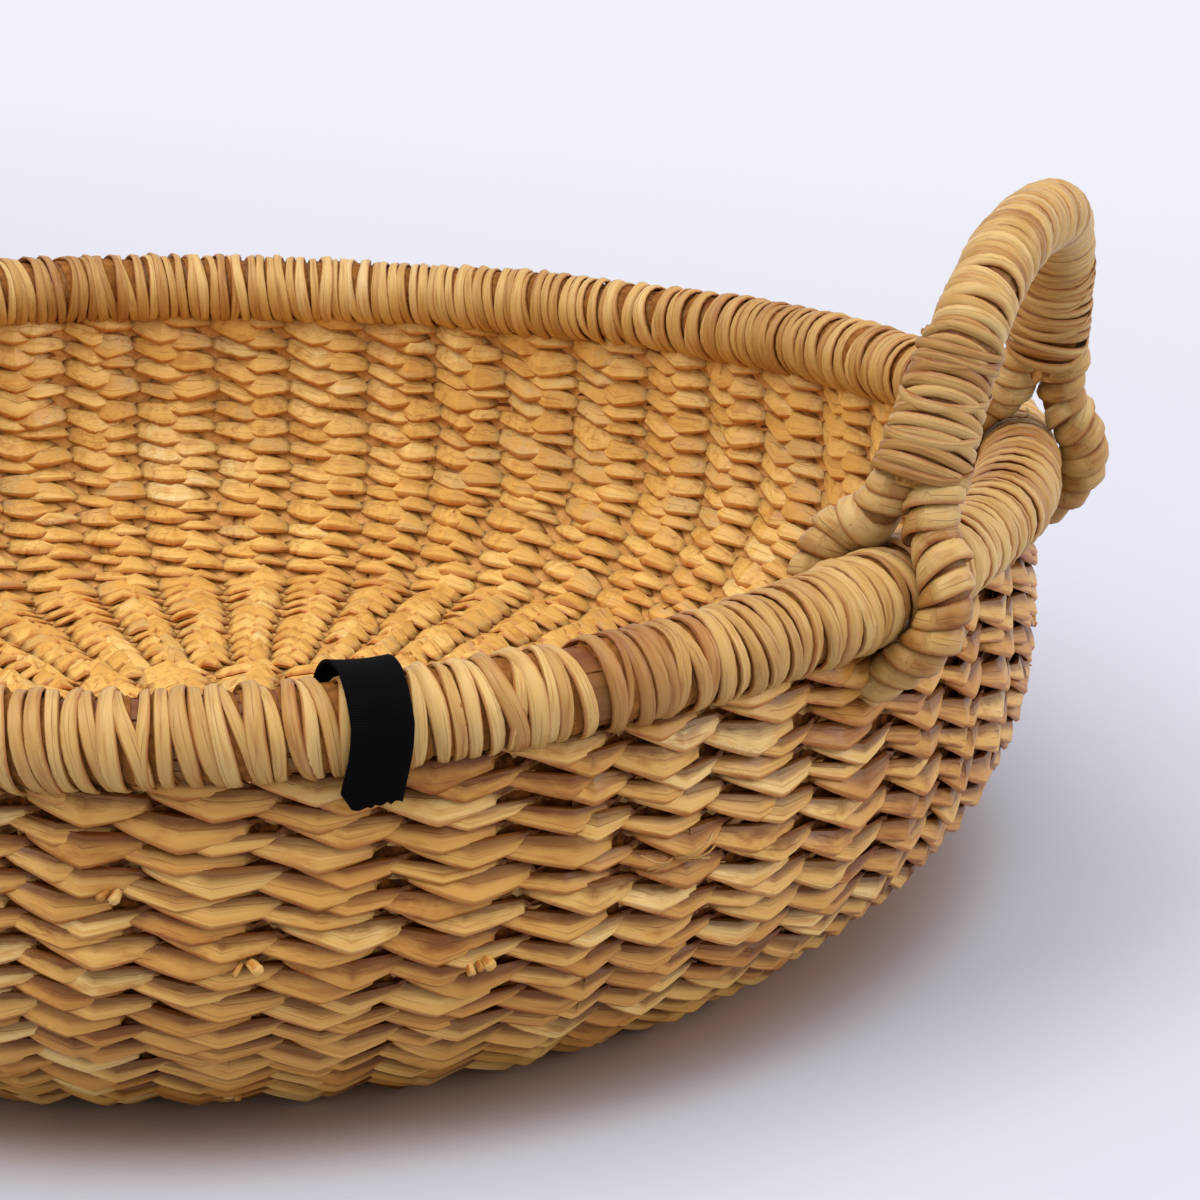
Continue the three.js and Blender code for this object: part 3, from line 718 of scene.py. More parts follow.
def grid(rows: int, columns: int, ring: bool = False, closed: bool = False, first: int = 0,
         turned: bool = False) -> list[tuple[int, int, int, int]]:
    """Faces over points that stand in rows.

    Args:
        rows: how many rows of faces there are.
        columns: how many faces a row has.
        ring: whether each row of points closes on itself.
        closed: whether the last row joins the first.
        first: the number of the first point.
        turned: whether the faces look the other way.

    Returns:
        The numbers of each face's corners.
    """
    wide = columns if ring else columns + 1
    faces = []
    for i in range(rows):
        here, there = first + i * wide, first + ((i + 1) % rows if closed else i + 1) * wide
        for j in range(columns):
            k = (j + 1) % wide
            face = (here + j, here + k, there + k, there + j)
            faces.append((face[0], *face[:0:-1]) if turned else face)
    return faces


def meshed(name: str, points: Line, edges: Sequence[tuple[int, int]], faces: Sequence[tuple[int, ...]],
           facts: Mapping[str, Numbers]) -> Mesh:
    """A mesh with numbers stored at its corners."""
    mesh = bpy.data.meshes.new(name)
    mesh.from_pydata([tuple(p) for p in points], edges, faces)
    for fact, values in facts.items():
        mesh.attributes.new(fact, "FLOAT", "POINT").data.foreach_set("value", list(values))
    return mesh


def polyline(name: str, points: Line, closed: bool = False, **facts: Numbers) -> Mesh:
    """A mesh of one line, closed or open, with numbers stored at its corners."""
    edges = [(i, i + 1) for i in range(len(points) - 1)]
    return meshed(name, points, edges + [(len(points) - 1, 0)] * closed, [], facts)


def shaped(name: str, points: Line, faces: Sequence[tuple[int, ...]], material: Material,
           **facts: Numbers) -> Object:
    """A smooth mesh piece with numbers stored at its corners."""
    mesh = meshed(name, points, [], faces, facts)
    mesh.shade_smooth()
    mesh.materials.append(material)
    return stand(name, mesh)


def rods(name: str, lines: Sequence[Line], radius: Callable[[int, float], float], sides: int,
         material: Material, closed: bool = False) -> Object:
    """Round rods along lines, as one mesh.

    Args:
        name: the new piece's name.
        lines: a line for each rod.
        radius: the radius, from the rod's number and the share of its length.
        sides: how many sides a rod has.
        material: their finish.
        closed: whether each line is a ring.

    Returns:
        The piece, with the "along", "around", "tone" and "depth" that the straw finishes read.
    """
    points, faces = [], []
    facts: dict[str, list[float]] = {"along": [], "around": [], "tone": [], "depth": []}
    for number, line in enumerate(lines):
        first, count = len(points), len(line)
        side = None
        travelled = 0.0
        for i, place in enumerate(line):
            after = line[(i + 1) % count] if closed else line[min(i + 1, count - 1)]
            before = line[i - 1] if closed else line[max(i - 1, 0)]
            heading = (after - before).normalized()
            side = heading.orthogonal() if side is None else side - heading * side.dot(heading)
            side.normalize()
            other = heading.cross(side)
            reach = radius(number, i / max(count - 1, 1))
            travelled += (place - before).length if i else 0.0
            for j in range(sides):
                turn = FULL_TURN * j / sides
                points.append(place + (side * math.cos(turn) + other * math.sin(turn)) * reach)
                for fact, value in zip(facts, (travelled, 0.5 + 0.5 * math.sin(turn), (number * GOLDEN) % 1.0, 0.0)):
                    facts[fact].append(value)
        faces += grid(count if closed else count - 1, sides, ring=True, closed=closed, first=first)
        if not closed:
            faces.append(tuple(first + j for j in reversed(range(sides))))
            faces.append(tuple(first + (count - 1) * sides + j for j in range(sides)))
    return shaped(name, points, faces, material, **facts)


@dataclass
class Bowl:
    """The sizes of the bowl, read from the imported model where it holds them."""

    base_radius: float = 0.175
    belly_height: float = 0.066
    shoulder_power: float = 2.5
    rim_radius: float = 0.2133
    rim_height: float = 0.1045
    rim_saddle: float = 0.0042
    wall_thickness: float = 0.009
    corner_fullness: float = 0.0045
    stakes: int = 52
    clearance: float = 0.0003
    overrun: float = 0.004
    flat_rows: int = 60
    wall_rows: int = 72

    def __post_init__(self) -> None:
        """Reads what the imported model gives."""
        self.belly_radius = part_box("wall_weave_outer")[1].x
        self.rim_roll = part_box("rim_wrap")[1].x - self.rim_radius
        self.wall_top = self.rim_height - self.rim_roll - self.clearance
        self.mouth_radius = self.rim_radius + self.wall_thickness / 2

    def radius_at(self, height: float) -> float:
        """The radius of the wall's outer face at a height."""
        if height < self.belly_height:
            below = 1 - height / self.belly_height
            return self.belly_radius - (self.belly_radius - self.base_radius) * below**self.shoulder_power
        above = (height - self.belly_height) / (self.wall_top - self.belly_height)
        return self.belly_radius - (self.belly_radius - self.mouth_radius) * above**2

    def middle_at(self, height: float) -> float:
        """How far the middle of the wall is out of the rim's centre line at a height."""
        return self.radius_at(height) - self.rim_radius - self.wall_thickness / 2

    def outline(self) -> list[Vector]:
        """The outer face from the middle of the base to a little above the wall's top, with a rounded corner."""
        foot = self.base_radius + self.corner_fullness
        line = [Vector((foot * i / self.flat_rows, 0, 0)) for i in range(self.flat_rows)]
        for i in range(self.wall_rows + 1):
            height = self.wall_top * i / self.wall_rows
            fullness = self.corner_fullness * (1 - height / self.wall_top) ** 4
            line.append(Vector((self.radius_at(height) + fullness, 0, height)))
        line.append(Vector((line[-1].x - 0.0004, 0, line[-1].z + self.overrun)))
        return smoothed(line, 4)

    def saddle_at(self, angle: float) -> float:
        """How far the rim is lifted in a direction."""
        return self.rim_saddle * math.cos(2 * angle)

    def rim_point(self, angle: float, out: float = 0.0, up: float = 0.0, sideways: float = 0.0) -> Vector:
        """A point beside the rim's centre line."""
        radius = self.rim_radius + out
        return Vector((
            radius * math.cos(angle) - sideways * math.sin(angle),
            radius * math.sin(angle) + sideways * math.cos(angle),
            self.rim_height + self.saddle_at(angle) + up,
        ))


def dress(piece: Object, slot: str, *stands_for: str) -> None:
    """Makes a piece part of the basket: what it rides on, and the CAD nodes that it stands for."""
    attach(piece, BODY)
    if stands_for:
        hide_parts(*stands_for)
    LOG.info("%s: %d faces", piece.name, len(piece.data.polygons))


def dials_of(thing: object) -> dict[str, Value]:
    """The sizes of a dataclass under the names of a loom's dials."""
    return {size.name.replace("_", " ").title(): getattr(thing, size.name) for size in fields(thing)}


@dataclass(frozen=True)
class Band:
    """Some courses that are woven as one piece."""

    name: str
    stands_for: tuple[str, ...]
    start: float
    courses: int
    course_pitch: float
    stakes: int
    steps: int = 8
    tuck: float = 0.0


@dataclass
class WovenBowl:
    """The twined base and wall."""

    bowl: Bowl
    course_pitch: float = 0.00805
    wall_courses: int = 14
    ply_half_height: float = 0.0031
    ply_half_depth: float = 0.0011
    slant_rise: float = 0.0019
    ply_lag: float = 0.12
    dip: float = 0.0022
    hold: float = 0.24
    shingle: float = 0.36
    twist: float = 0.34
    top_share: float = 1.15
    eye_radius: float = 0.0445
    middle_courses: int = 7
    packing: float = 0.0008

    def build(self, straw: Material) -> None:
        """Weaves the courses in bands that each stay a handy size."""
        loom = TwiningLoom()
        outline = self.bowl.outline()
        # The plies of the base are fuller than the wall's and lie flatter
        for seed, band in enumerate(self._bands(length_of(outline) - self.bowl.overrun), 1):
            piece = loom.grow(band.name, polyline(band.name, outline), {
                **dials_of(self.bowl), **dials_of(self), **dials_of(band),
                "Wall Top": self.bowl.wall_top,
                "Ply Half Height": self.ply_half_height * (1.14 - 0.14 * band.tuck),
                "Dip": self.dip * (0.3 + 0.7 * band.tuck),
                "Shingle": self.shingle * band.tuck,
                "Seed": seed,
                "Straw": straw,
            })
            dress(piece, "weaver_straw", *band.stands_for)

    def _bands(self, length: float) -> list[Band]:
        """The bands from the middle of the base to the top of the wall, for an outline of a given length."""
        stakes, pitch = self.bowl.stakes, self.course_pitch
        wall_start = length - (self.wall_courses - self.top_share) * pitch
        base_start = self.eye_radius + self.middle_courses * pitch
        base_courses = round((wall_start - base_start) / pitch)
        base_pitch = (wall_start - base_start) / base_courses
        half = base_courses // 2
        middle = base_start + half * base_pitch
        bands = [
            Band("base_weave_middle", ("base_weave_upper",), self.eye_radius, self.middle_courses, pitch,
                 stakes // 2),
            Band("base_weave_inner", ("base_weave_under",), base_start, half, base_pitch, stakes),
            Band("base_weave_outer", (), middle, base_courses - half, base_pitch, stakes, tuck=0.2),
        ]
        done = 0
        for i, (courses, *nodes) in enumerate(((5, "wall_weave_outer"), (5, "wall_weave_inner"), (4,)), 1):
            start = wall_start + done * pitch
            bands.append(Band(f"wall_weave_{i}", tuple(nodes), start, courses, pitch, stakes, 10, 1.0))
            done += courses
        return bands

    def line(self, straw: Material, lit_inner_straw: Material) -> None:
        """Fills the middle of the wall with crushed straw, which closes the gaps between the stitches. Its outer face
        is dark, painted shade in the gaps, and its inner face paler, painted light.
        """
        outline = self.bowl.outline()
        inner, outer = [], []
        for before, here, after in zip(outline, outline[1:], outline[2:]):
            run = (after - before).normalized()
            for side, off in ((outer, -self.packing / 2), (inner, self.packing / 2)):
                depth = self.bowl.wall_thickness / 2 + off
                side.append(Vector((here.x - run.z * depth, 0, here.z + run.x * depth)))
        profile = [p for p in outer + inner[::-1] if p.x > self.eye_radius]
        around, size = 2 * self.bowl.stakes, len(profile)
        points = []
        for i in range(around):
            angle = FULL_TURN * i / around
            for p in profile:
                lift = self.bowl.saddle_at(angle) * min(max(p.z / self.bowl.wall_top, 0), 1) ** 2
                points.append(Vector((p.x * math.cos(angle), p.x * math.sin(angle), p.z + lift)))
        faces = grid(around, size, ring=True, closed=True, turned=True)
        # The outer half of the faces takes the dark straw, painted shade, and the inner half the paler straw, painted
        # light.
        piece = shaped("wall_packing", points, faces, straw)
        piece.data.materials.append(lit_inner_straw)
        for face in piece.data.polygons:
            face.material_index = int(face.index % size >= size // 2)
        dress(piece, "core_straw")


@dataclass(frozen=True)
class StripCut:
    """How a strip is cut and wound."""

    pitch: float
    half_width: float
    half_thickness: float
    lean: float = 0.0
    wobble: float = 0.0015
    shingle: float = 0.2
    fullness: float = 1.8
    narrowing: float = 0.0
    roll: float = 1.3
    core_share: float = 0.8
    steps: int = 20

    def wind(self, loom: WindingLoom, name: str, path: Line, across: Vector, straw: Material,
             seed: int, girth: Numbers, spread: Numbers | None = None,
             shade: Numbers | None = None, part: Numbers | None = None,
             closed: bool = False) -> Object:
        """Winds the strip round a path.

        Args:
            loom: the tree that winds.
            name: the new piece's name.
            path: the path's corners.
            across: the direction square to the path's plane.
            straw: the strip's material.
            seed: what the strip's chances start from.
            girth: how far the strip's outer face is from the path, at each corner.
            spread: what is added to that across the plane.
            shade: from 0 for pale strip to 1 for brown.
            part: how far the wraps are pushed along the path.
            closed: whether the path is a ring.

        Returns:
            The wound piece.
        """
        plain = [0.0] * len(path)
        guide = polyline(f"{name}_path", path, closed=closed, girth=[g - self.half_thickness for g in girth],
                         spread=spread or plain, shade=shade or plain, part=part or plain)
        return loom.grow(name, guide, {**dials_of(self), "Across": tuple(across), "Seed": seed, "Straw": straw})


@dataclass
class WrappedRim:
    """The rim: a bundle of stalks with strip wound tightly round it."""

    bowl: Bowl
    cut: StripCut = StripCut(0.0071, 0.0020, 0.0008, lean=0.0003, wobble=0.0062, shingle=0.16, fullness=2.8,
                             narrowing=0.26, roll=1.5, core_share=0.86)
    crossing: StripCut = replace(cut, half_width=0.0018, lean=0.0, shingle=-0.12)
    under: StripCut = StripCut(0.0071, 0.0033, 0.0008, wobble=0.0030, shingle=0.1, fullness=2.4, roll=0.4,
                               core_share=0.86, steps=16)
    swell: float = 0.0004
    crossing_depth: float = 0.0004
    under_depth: float = 0.0016
    corners: int = 480
    shaded_side: float = math.radians(-30)
    brown_lengths: tuple[Triple, ...] = (
        (-38.5, 2.6, 0.75), (133, 5, 0.8), (-62, 3, 0.3), (-28, 4, 0.35), (62, 5, 0.4))
    gap_place: float = math.radians(-41.5)
    gap_half: float = 0.0026
    gap_reach: float = math.radians(6)
    stalks: int = 17
    stalk_radius: float = 0.0016
    stalk_corners: int = 300

    def build(self, loom: WindingLoom, straw: Material, shaded_under_straw: Material,
              core_straw: Material) -> None:
        """Winds the whole rim over its stalks."""
        angles = [FULL_TURN * i / self.corners for i in range(self.corners)]
        path = [self.bowl.rim_point(a) for a in angles]
        girth = [self.bowl.rim_roll - self.swell + self.swell * math.sin(9 * a + 2 * math.sin(4 * a)) for a in angles]
        shade = [self._shade(a) for a in angles]
        part = [self._part(a) for a in angles]
        layers = (
            ("rim_wraps", self.cut, straw, 3, 0.0, 0.0, "rim_wrap"),
            ("rim_crossing_wraps", self.crossing, straw, 8, self.crossing_depth, 0.5),
            ("rim_under_wraps", self.under, shaded_under_straw, 15, self.under_depth, 0.25),
        )
        for name, cut, finish, seed, depth, shift, *stands_for in layers:
            # The under layer takes darker straw and more brown: painted shade on the wraps that lie beneath.
            brown = [min(v + 0.9, 1.3) for v in shade] if finish is shaded_under_straw else shade
            piece = cut.wind(loom, name, path, Vector((0, 0, 1)), finish, seed, [g - depth for g in girth],
                             shade=brown, part=[self.cut.pitch * shift + p for p in part], closed=True)
            dress(piece, "wrap_straw", *stands_for)
        dress(self._bundle(core_straw), "core_straw")

    def _shade(self, angle: float) -> float:
        """How brown the strip is in a direction: some lengths were wound from darker stalks, and the near side is
        painted browner and the far side paler, as painted shade and painted light.
        """
        brown = 0.18 + 0.16 * math.sin(3 * angle + 2.0 * math.sin(5 * angle))
        # Painted shade on the near side, round -30 degrees, and painted light on the far side.
        brown += 0.16 * math.cos(angle - self.shaded_side)
        for place, half, depth in self.brown_lengths:
            off = math.degrees(math.remainder(angle - math.radians(place), FULL_TURN)) / half
            brown += depth * math.exp(-off**4)
        return min(max(brown, 0.0), 1.0)

    def _part(self, angle: float) -> float:
        """How far the wraps are pushed aside at the gap that shows the stalks."""
        off = math.remainder(angle - self.gap_place, FULL_TURN)
        if abs(off) > self.gap_reach:
            return 0.0
        push = self.gap_half * (1 - abs(off) / self.gap_reach) ** 1.5
        return math.copysign(push, off)

    def _bundle(self, straw: Material) -> Object:
        """The stalks of the core, side by side in a ring that turns slowly as it runs round."""
        orbit = self.bowl.rim_roll - 2 * self.cut.half_thickness - self.stalk_radius - self.under_depth + 0.0002
        strands = []
        for k in range(self.stalks):
            strand = []
            for i in range(self.stalk_corners):
                angle = FULL_TURN * i / self.stalk_corners
                turn = FULL_TURN * k / self.stalks + 0.3 * math.sin(3 * angle) + 0.2 * math.sin(7 * angle + k)
                strand.append(self.bowl.rim_point(angle, orbit * math.cos(turn), orbit * math.sin(turn)))
            strands.append(strand)
        return rods("rim_core_stalks", strands, lambda *_: self.stalk_radius, 5, straw, closed=True)


@dataclass
class Handle:
    """One handle: a wound arch whose feet fork over the rim."""

    bowl: Bowl
    name: str
    side: int
    span: float = 0.1202
    rise: float = 0.0512
    lean: float = math.radians(10.8)
    power: float = 3.15
    narrowing: float = 0.25
    thickness: float = 0.018
    leg_radius: float = 0.006
    leg_tip_radius: float = 0.0043
    tuck_depth: float = 0.0185
    leg_turn: float = math.radians(116)
    throat: float = 0.007
    seat: float = 0.0013
    clearance: float = 0.0003
    collar_share: float = 0.19
    rear_lift: float = 0.0042
    arch_cut: StripCut = StripCut(0.0024, 0.0016, 0.0006, lean=0.0020, wobble=0.0036, shingle=0.16, fullness=2.4,
                                  roll=0.9, core_share=0.94)
    limb_cut: StripCut = replace(arch_cut, pitch=0.0027, half_width=0.0015, half_thickness=0.0007, lean=0.0024,
                                 wobble=0.0044, shingle=0.24, roll=1.3)
    crossing_cut: StripCut = StripCut(0.0079, 0.0014, 0.0006, lean=-0.0026, wobble=0.0060, core_share=0.5)
    collar_cut: StripCut = StripCut(0.0030, 0.0011, 0.0006, lean=-0.0022, wobble=0.0070, shingle=0.3)
    leg_cut: StripCut = StripCut(0.0056, 0.0030, 0.0009, lean=0.0010, wobble=0.0026, shingle=0.24, fullness=2.4,
                                 roll=1.0, core_share=0.92)
    arch_points: int = 240
    limb_spread: float = 0.0015
    limb_swell: float = 0.0006
    leg_swell: float = 0.0006
    collar_height: float = 0.0015
    collar_length: float = 0.24
    leg_steps: int = 12
    leg_points: int = 60
    leg_rounding: int = 20

    def __post_init__(self) -> None:
        """Works out what follows from the sizes."""
        self.orbit = self.bowl.rim_roll + self.clearance + self.leg_radius
        self.offset = self.leg_radius + self.clearance / 2
        self.crown_turn = math.asin(self.offset / self.orbit)
        self.fork_height = self.orbit * math.cos(self.crown_turn) + self.throat
        self.foot_height = self.fork_height + self.seat
        self.splay = self.narrowing * self.span / 2 / self.rise
        radius = self.bowl.rim_radius + math.sin(self.lean) * self.foot_height
        drift = self.splay * self.foot_height
        self.foot_angle = math.asin(self.span / 2 / math.hypot(radius, drift)) + math.atan2(drift, radius)
        self.feet = {"rear": self.side, "front": -self.side}

    def build(self, loom: WindingLoom, straw: Material) -> None:
        """Winds the arch, its two limbs and collars, and the four legs."""
        line = self._arch_line(self.arch_points)
        low = round(self.arch_points * self.collar_share)
        arch = line[low:self.arch_points - low + 1]
        half = self.thickness / 2
        lean = self._turned(Vector((math.cos(self.lean), 0, -math.sin(self.lean))))
        first_seed = 11 if self.side > 0 else 47

        def wind(cut: StripCut, part: str, path: Line, seed: int, girth: Numbers,
                 *stands_for: str, across: Vector = lean, slot: str = "handle_straw",
                 **more: Numbers) -> None:
            piece = cut.wind(loom, f"{self.name}_{part}", path, across, straw, first_seed + seed, girth, **more)
            dress(piece, slot, *(f"{self.name}_{node}" for node in stands_for))

        wind(self.arch_cut, "arch_wraps", arch, 0, [half - 0.0004] * len(arch), "winding")
        for place, foot in self.feet.items():
            # The rear limb and collar are slimmer and paler than the front ones; their paleness is painted light on
            # the limb that stands in shade.
            rough, start = (1.0, 4) if place == "front" else (0.3, 9)
            limb = (line if foot < 0 else line[::-1])[start:low + 3]
            shares = [i / (len(limb) - 1) for i in range(len(limb))]
            girth = [half + (0.0004 + self.limb_swell * (1 - s)) * rough for s in shares]
            looks = {"spread": [self.limb_spread * (1 - s) ** 1.5 for s in shares],
                     "shade": [(0.26 + 0.4 * s**2) * rough for s in shares]}
            wind(self.limb_cut, f"{place}_limb_wraps", limb, foot, girth, f"{place}_binding", **looks)
            wind(self.crossing_cut, f"{place}_crossing_wraps", limb, 3 * foot, [g + 0.0003 for g in girth], **looks)
            collar = limb[-round(len(limb) * self.collar_length):]
            height = half - 0.0002 + self.collar_height * rough
            wind(self.collar_cut, f"{place}_collar", collar, 5 + foot, [height] * len(collar),
                 slot="binding_straw", shade=[0.9 * rough] * len(collar))
            angle = foot * self.foot_angle
            across = self._turned(Vector((-math.sin(angle), math.cos(angle), 0)))
            for word, out in (("outer", 1), ("inner", -1)):
                path, leg = self._leg_line(foot, out), f"{place}_{word}_leg"
                girth = self._leg_girth(len(path))
                wind(self.leg_cut, f"{leg}_wraps", path, 9 * out + foot, girth, leg, across=across)

    def _leg_girth(self, count: int) -> list[float]:
        """A leg's radius from the throat to its tip: fuller halfway, and thinner at the tip."""
        shares = [i / (count - 1) for i in range(count)]
        taper = self.leg_tip_radius - self.leg_radius
        return [self.leg_radius + taper * s**2.5 + self.leg_swell * math.sin(math.pi * s) for s in shares]

    def _turned(self, place: Vector) -> Vector:
        """A point or direction of the handle at +X, turned half round for the other handle."""
        return Vector((place.x * self.side, place.y * self.side, place.z))

    def _fork_point(self, foot: int, across: float, rise: float) -> Vector:
        """A point beside the rim at a foot, measured across and up the fork's leaning axis."""
        out = across * math.cos(self.lean) + rise * math.sin(self.lean)
        up = rise * math.cos(self.lean) - across * math.sin(self.lean)
        return self.bowl.rim_point(foot * self.foot_angle, out, up, -foot * self.splay * rise)

    def _arch_line(self, count: int) -> list[Vector]:
        """Evenly spaced points along the arch, from its foot on the -Y side to the other."""
        foot = self._fork_point(1, 0, self.foot_height)
        raw = []
        for i in range(10 * count + 1):
            turn = math.pi * i / (10 * count)
            across = math.copysign(abs(math.cos(turn)) ** (2 / self.power), -math.cos(turn))
            rise = max(math.sin(turn), 0.0) ** (2 / self.power)
            raw.append(Vector((
                foot.x + math.sin(self.lean) * self.rise * rise,
                foot.y * across * (1 - self.narrowing * rise),
                foot.z + math.cos(self.lean) * self.rise * rise,
            )))
        return [self._turned(p) for p in respaced(raw, count)]

    def _leg_line(self, foot: int, out: int) -> list[Vector]:
        """The line of one leg, smoothed and evenly spaced."""
        lift = self.rear_lift if foot == self.feet["rear"] else 0.0
        points = [self._fork_point(foot, out * self.offset * share, self.fork_height + up)
                  for share, up in ((0.7, 0.007 + lift), (0.85, lift * 0.7), (1, 0))]
        for i in range(self.leg_steps + 1):
            turn = self.crown_turn + (self.leg_turn - out * self.lean - self.crown_turn) * i / self.leg_steps
            points.append(self._fork_point(foot, out * self.orbit * math.sin(turn), self.orbit * math.cos(turn)))
        wall = self.bowl.middle_at(self.bowl.rim_height - self.tuck_depth)
        drift = foot * self.splay * self.tuck_depth
        for depth, off in ((self.tuck_depth, out * 0.005), (self.tuck_depth + 0.003, -out * 0.001)):
            points.append(self.bowl.rim_point(foot * self.foot_angle, wall + off, -depth, drift))
        return [self._turned(p) for p in smoothed(respaced(points, self.leg_points), self.leg_rounding)]


@dataclass
class FoldedRibbon:
    """The bare black ribbon folded over the rim, with a ragged outer end."""

    bowl: Bowl
    place: float = math.radians(-53.3)
    width: float = 0.013
    thickness: float = 0.0007
    stand_off: float = 0.0008
    wrap: float = math.radians(118)
    outer_drop: float = 0.0165
    inner_drop: float = 0.015
    slip: float = 0.0030
    slip_share: float = 0.45
    slant: float = 0.0115
    slant_start: float = 0.28
    cup: float = 0.0005
    notch: float = 0.0052
    notch_share: float = 0.22
    ragged_rows: int = 16
    arc_steps: int = 40
    columns: int = 16
    rows: int = 90

    def build(self, cloth: Material) -> None:
        line = respaced(self._line(), self.rows)
        points, across, along = [], [], []
        for layer in (1, -1):
            for i in range(self.rows + 1):
                before, after = line[max(i - 1, 0)], line[min(i + 1, self.rows)]
                run = (after - before).normalized()
                face = Vector((-run.y, run.x)) * (layer * self.thickness / 2)
                slipped = self.slip * max(0, 1 - i / (self.slip_share * self.rows))
                slipped_more = self.slant * max(0, i / self.rows - self.slant_start)
                for j in range(self.columns + 1):
                    share = j / self.columns
                    spot = self._ragged(line, i, share) + face
                    cup = self.cup * (2 * share - 1) ** 2 * math.sin(math.pi * i / self.rows)
                    sideways = (share - 0.5) * self.width - slipped - slipped_more
                    points.append(self.bowl.rim_point(self.place, spot.x + face.x * cup, spot.y + cup, sideways))
                    across.append(share)
                    along.append(i / self.rows)
        wide = self.columns + 1
        layer_size = wide * (self.rows + 1)
        layers = (grid(self.rows, self.columns), grid(self.rows, self.columns, first=layer_size, turned=True))
        faces = [face for pair in zip(*layers) for face in pair]
        border = [*range(wide)] + [i * wide + self.columns for i in range(1, self.rows + 1)]
        border += [self.rows * wide + j for j in range(self.columns - 1, -1, -1)]
        border += [i * wide for i in range(self.rows - 1, 0, -1)]
        for a, b in zip(border, border[1:] + border[:1]):
            faces.append((b, a, a + layer_size, b + layer_size))
        piece = shaped("ribbon_fold", points, faces, cloth, across=across, run=along)
        dress(piece, "black_ribbon", "ribbon")

    def _line(self) -> list[Vector]:
        """The ribbon's line over the rim, as distances out of and above the rim's centre."""
        orbit = self.bowl.rim_roll + self.stand_off + self.thickness / 2
        clear = self.bowl.wall_thickness / 2 + self.stand_off + self.thickness / 2
        walls = [self.bowl.middle_at(self.bowl.rim_height - drop) for drop in (self.outer_drop, self.inner_drop)]
        points = [Vector((walls[0] + clear + 0.001, -self.outer_drop))]
        for i in range(self.arc_steps + 1):
            turn = self.wrap * (1 - 2 * i / self.arc_steps)
            points.append(Vector((orbit * math.sin(turn), orbit * math.cos(turn))))
        points.append(Vector((walls[1] - clear, -self.inner_drop)))
        return points

    def _ragged(self, line: Line, row: int, share: float) -> Vector:
        """A point of the ribbon's line, drawn back at the outer end so that the cut is notched."""
        deepest = self.notch_share
        notch = self.notch * (max(deepest - share, 0) / deepest + max(share - deepest, 0) ** 0.7 / 2)
        notch += 0.0003 * math.sin(share * 37) + 0.0003 * math.sin(share * 61)
        fade = max(0.0, 1 - row / self.ragged_rows)
        run = (line[1] - line[0]).normalized()
        return line[row] + run * notch * fade


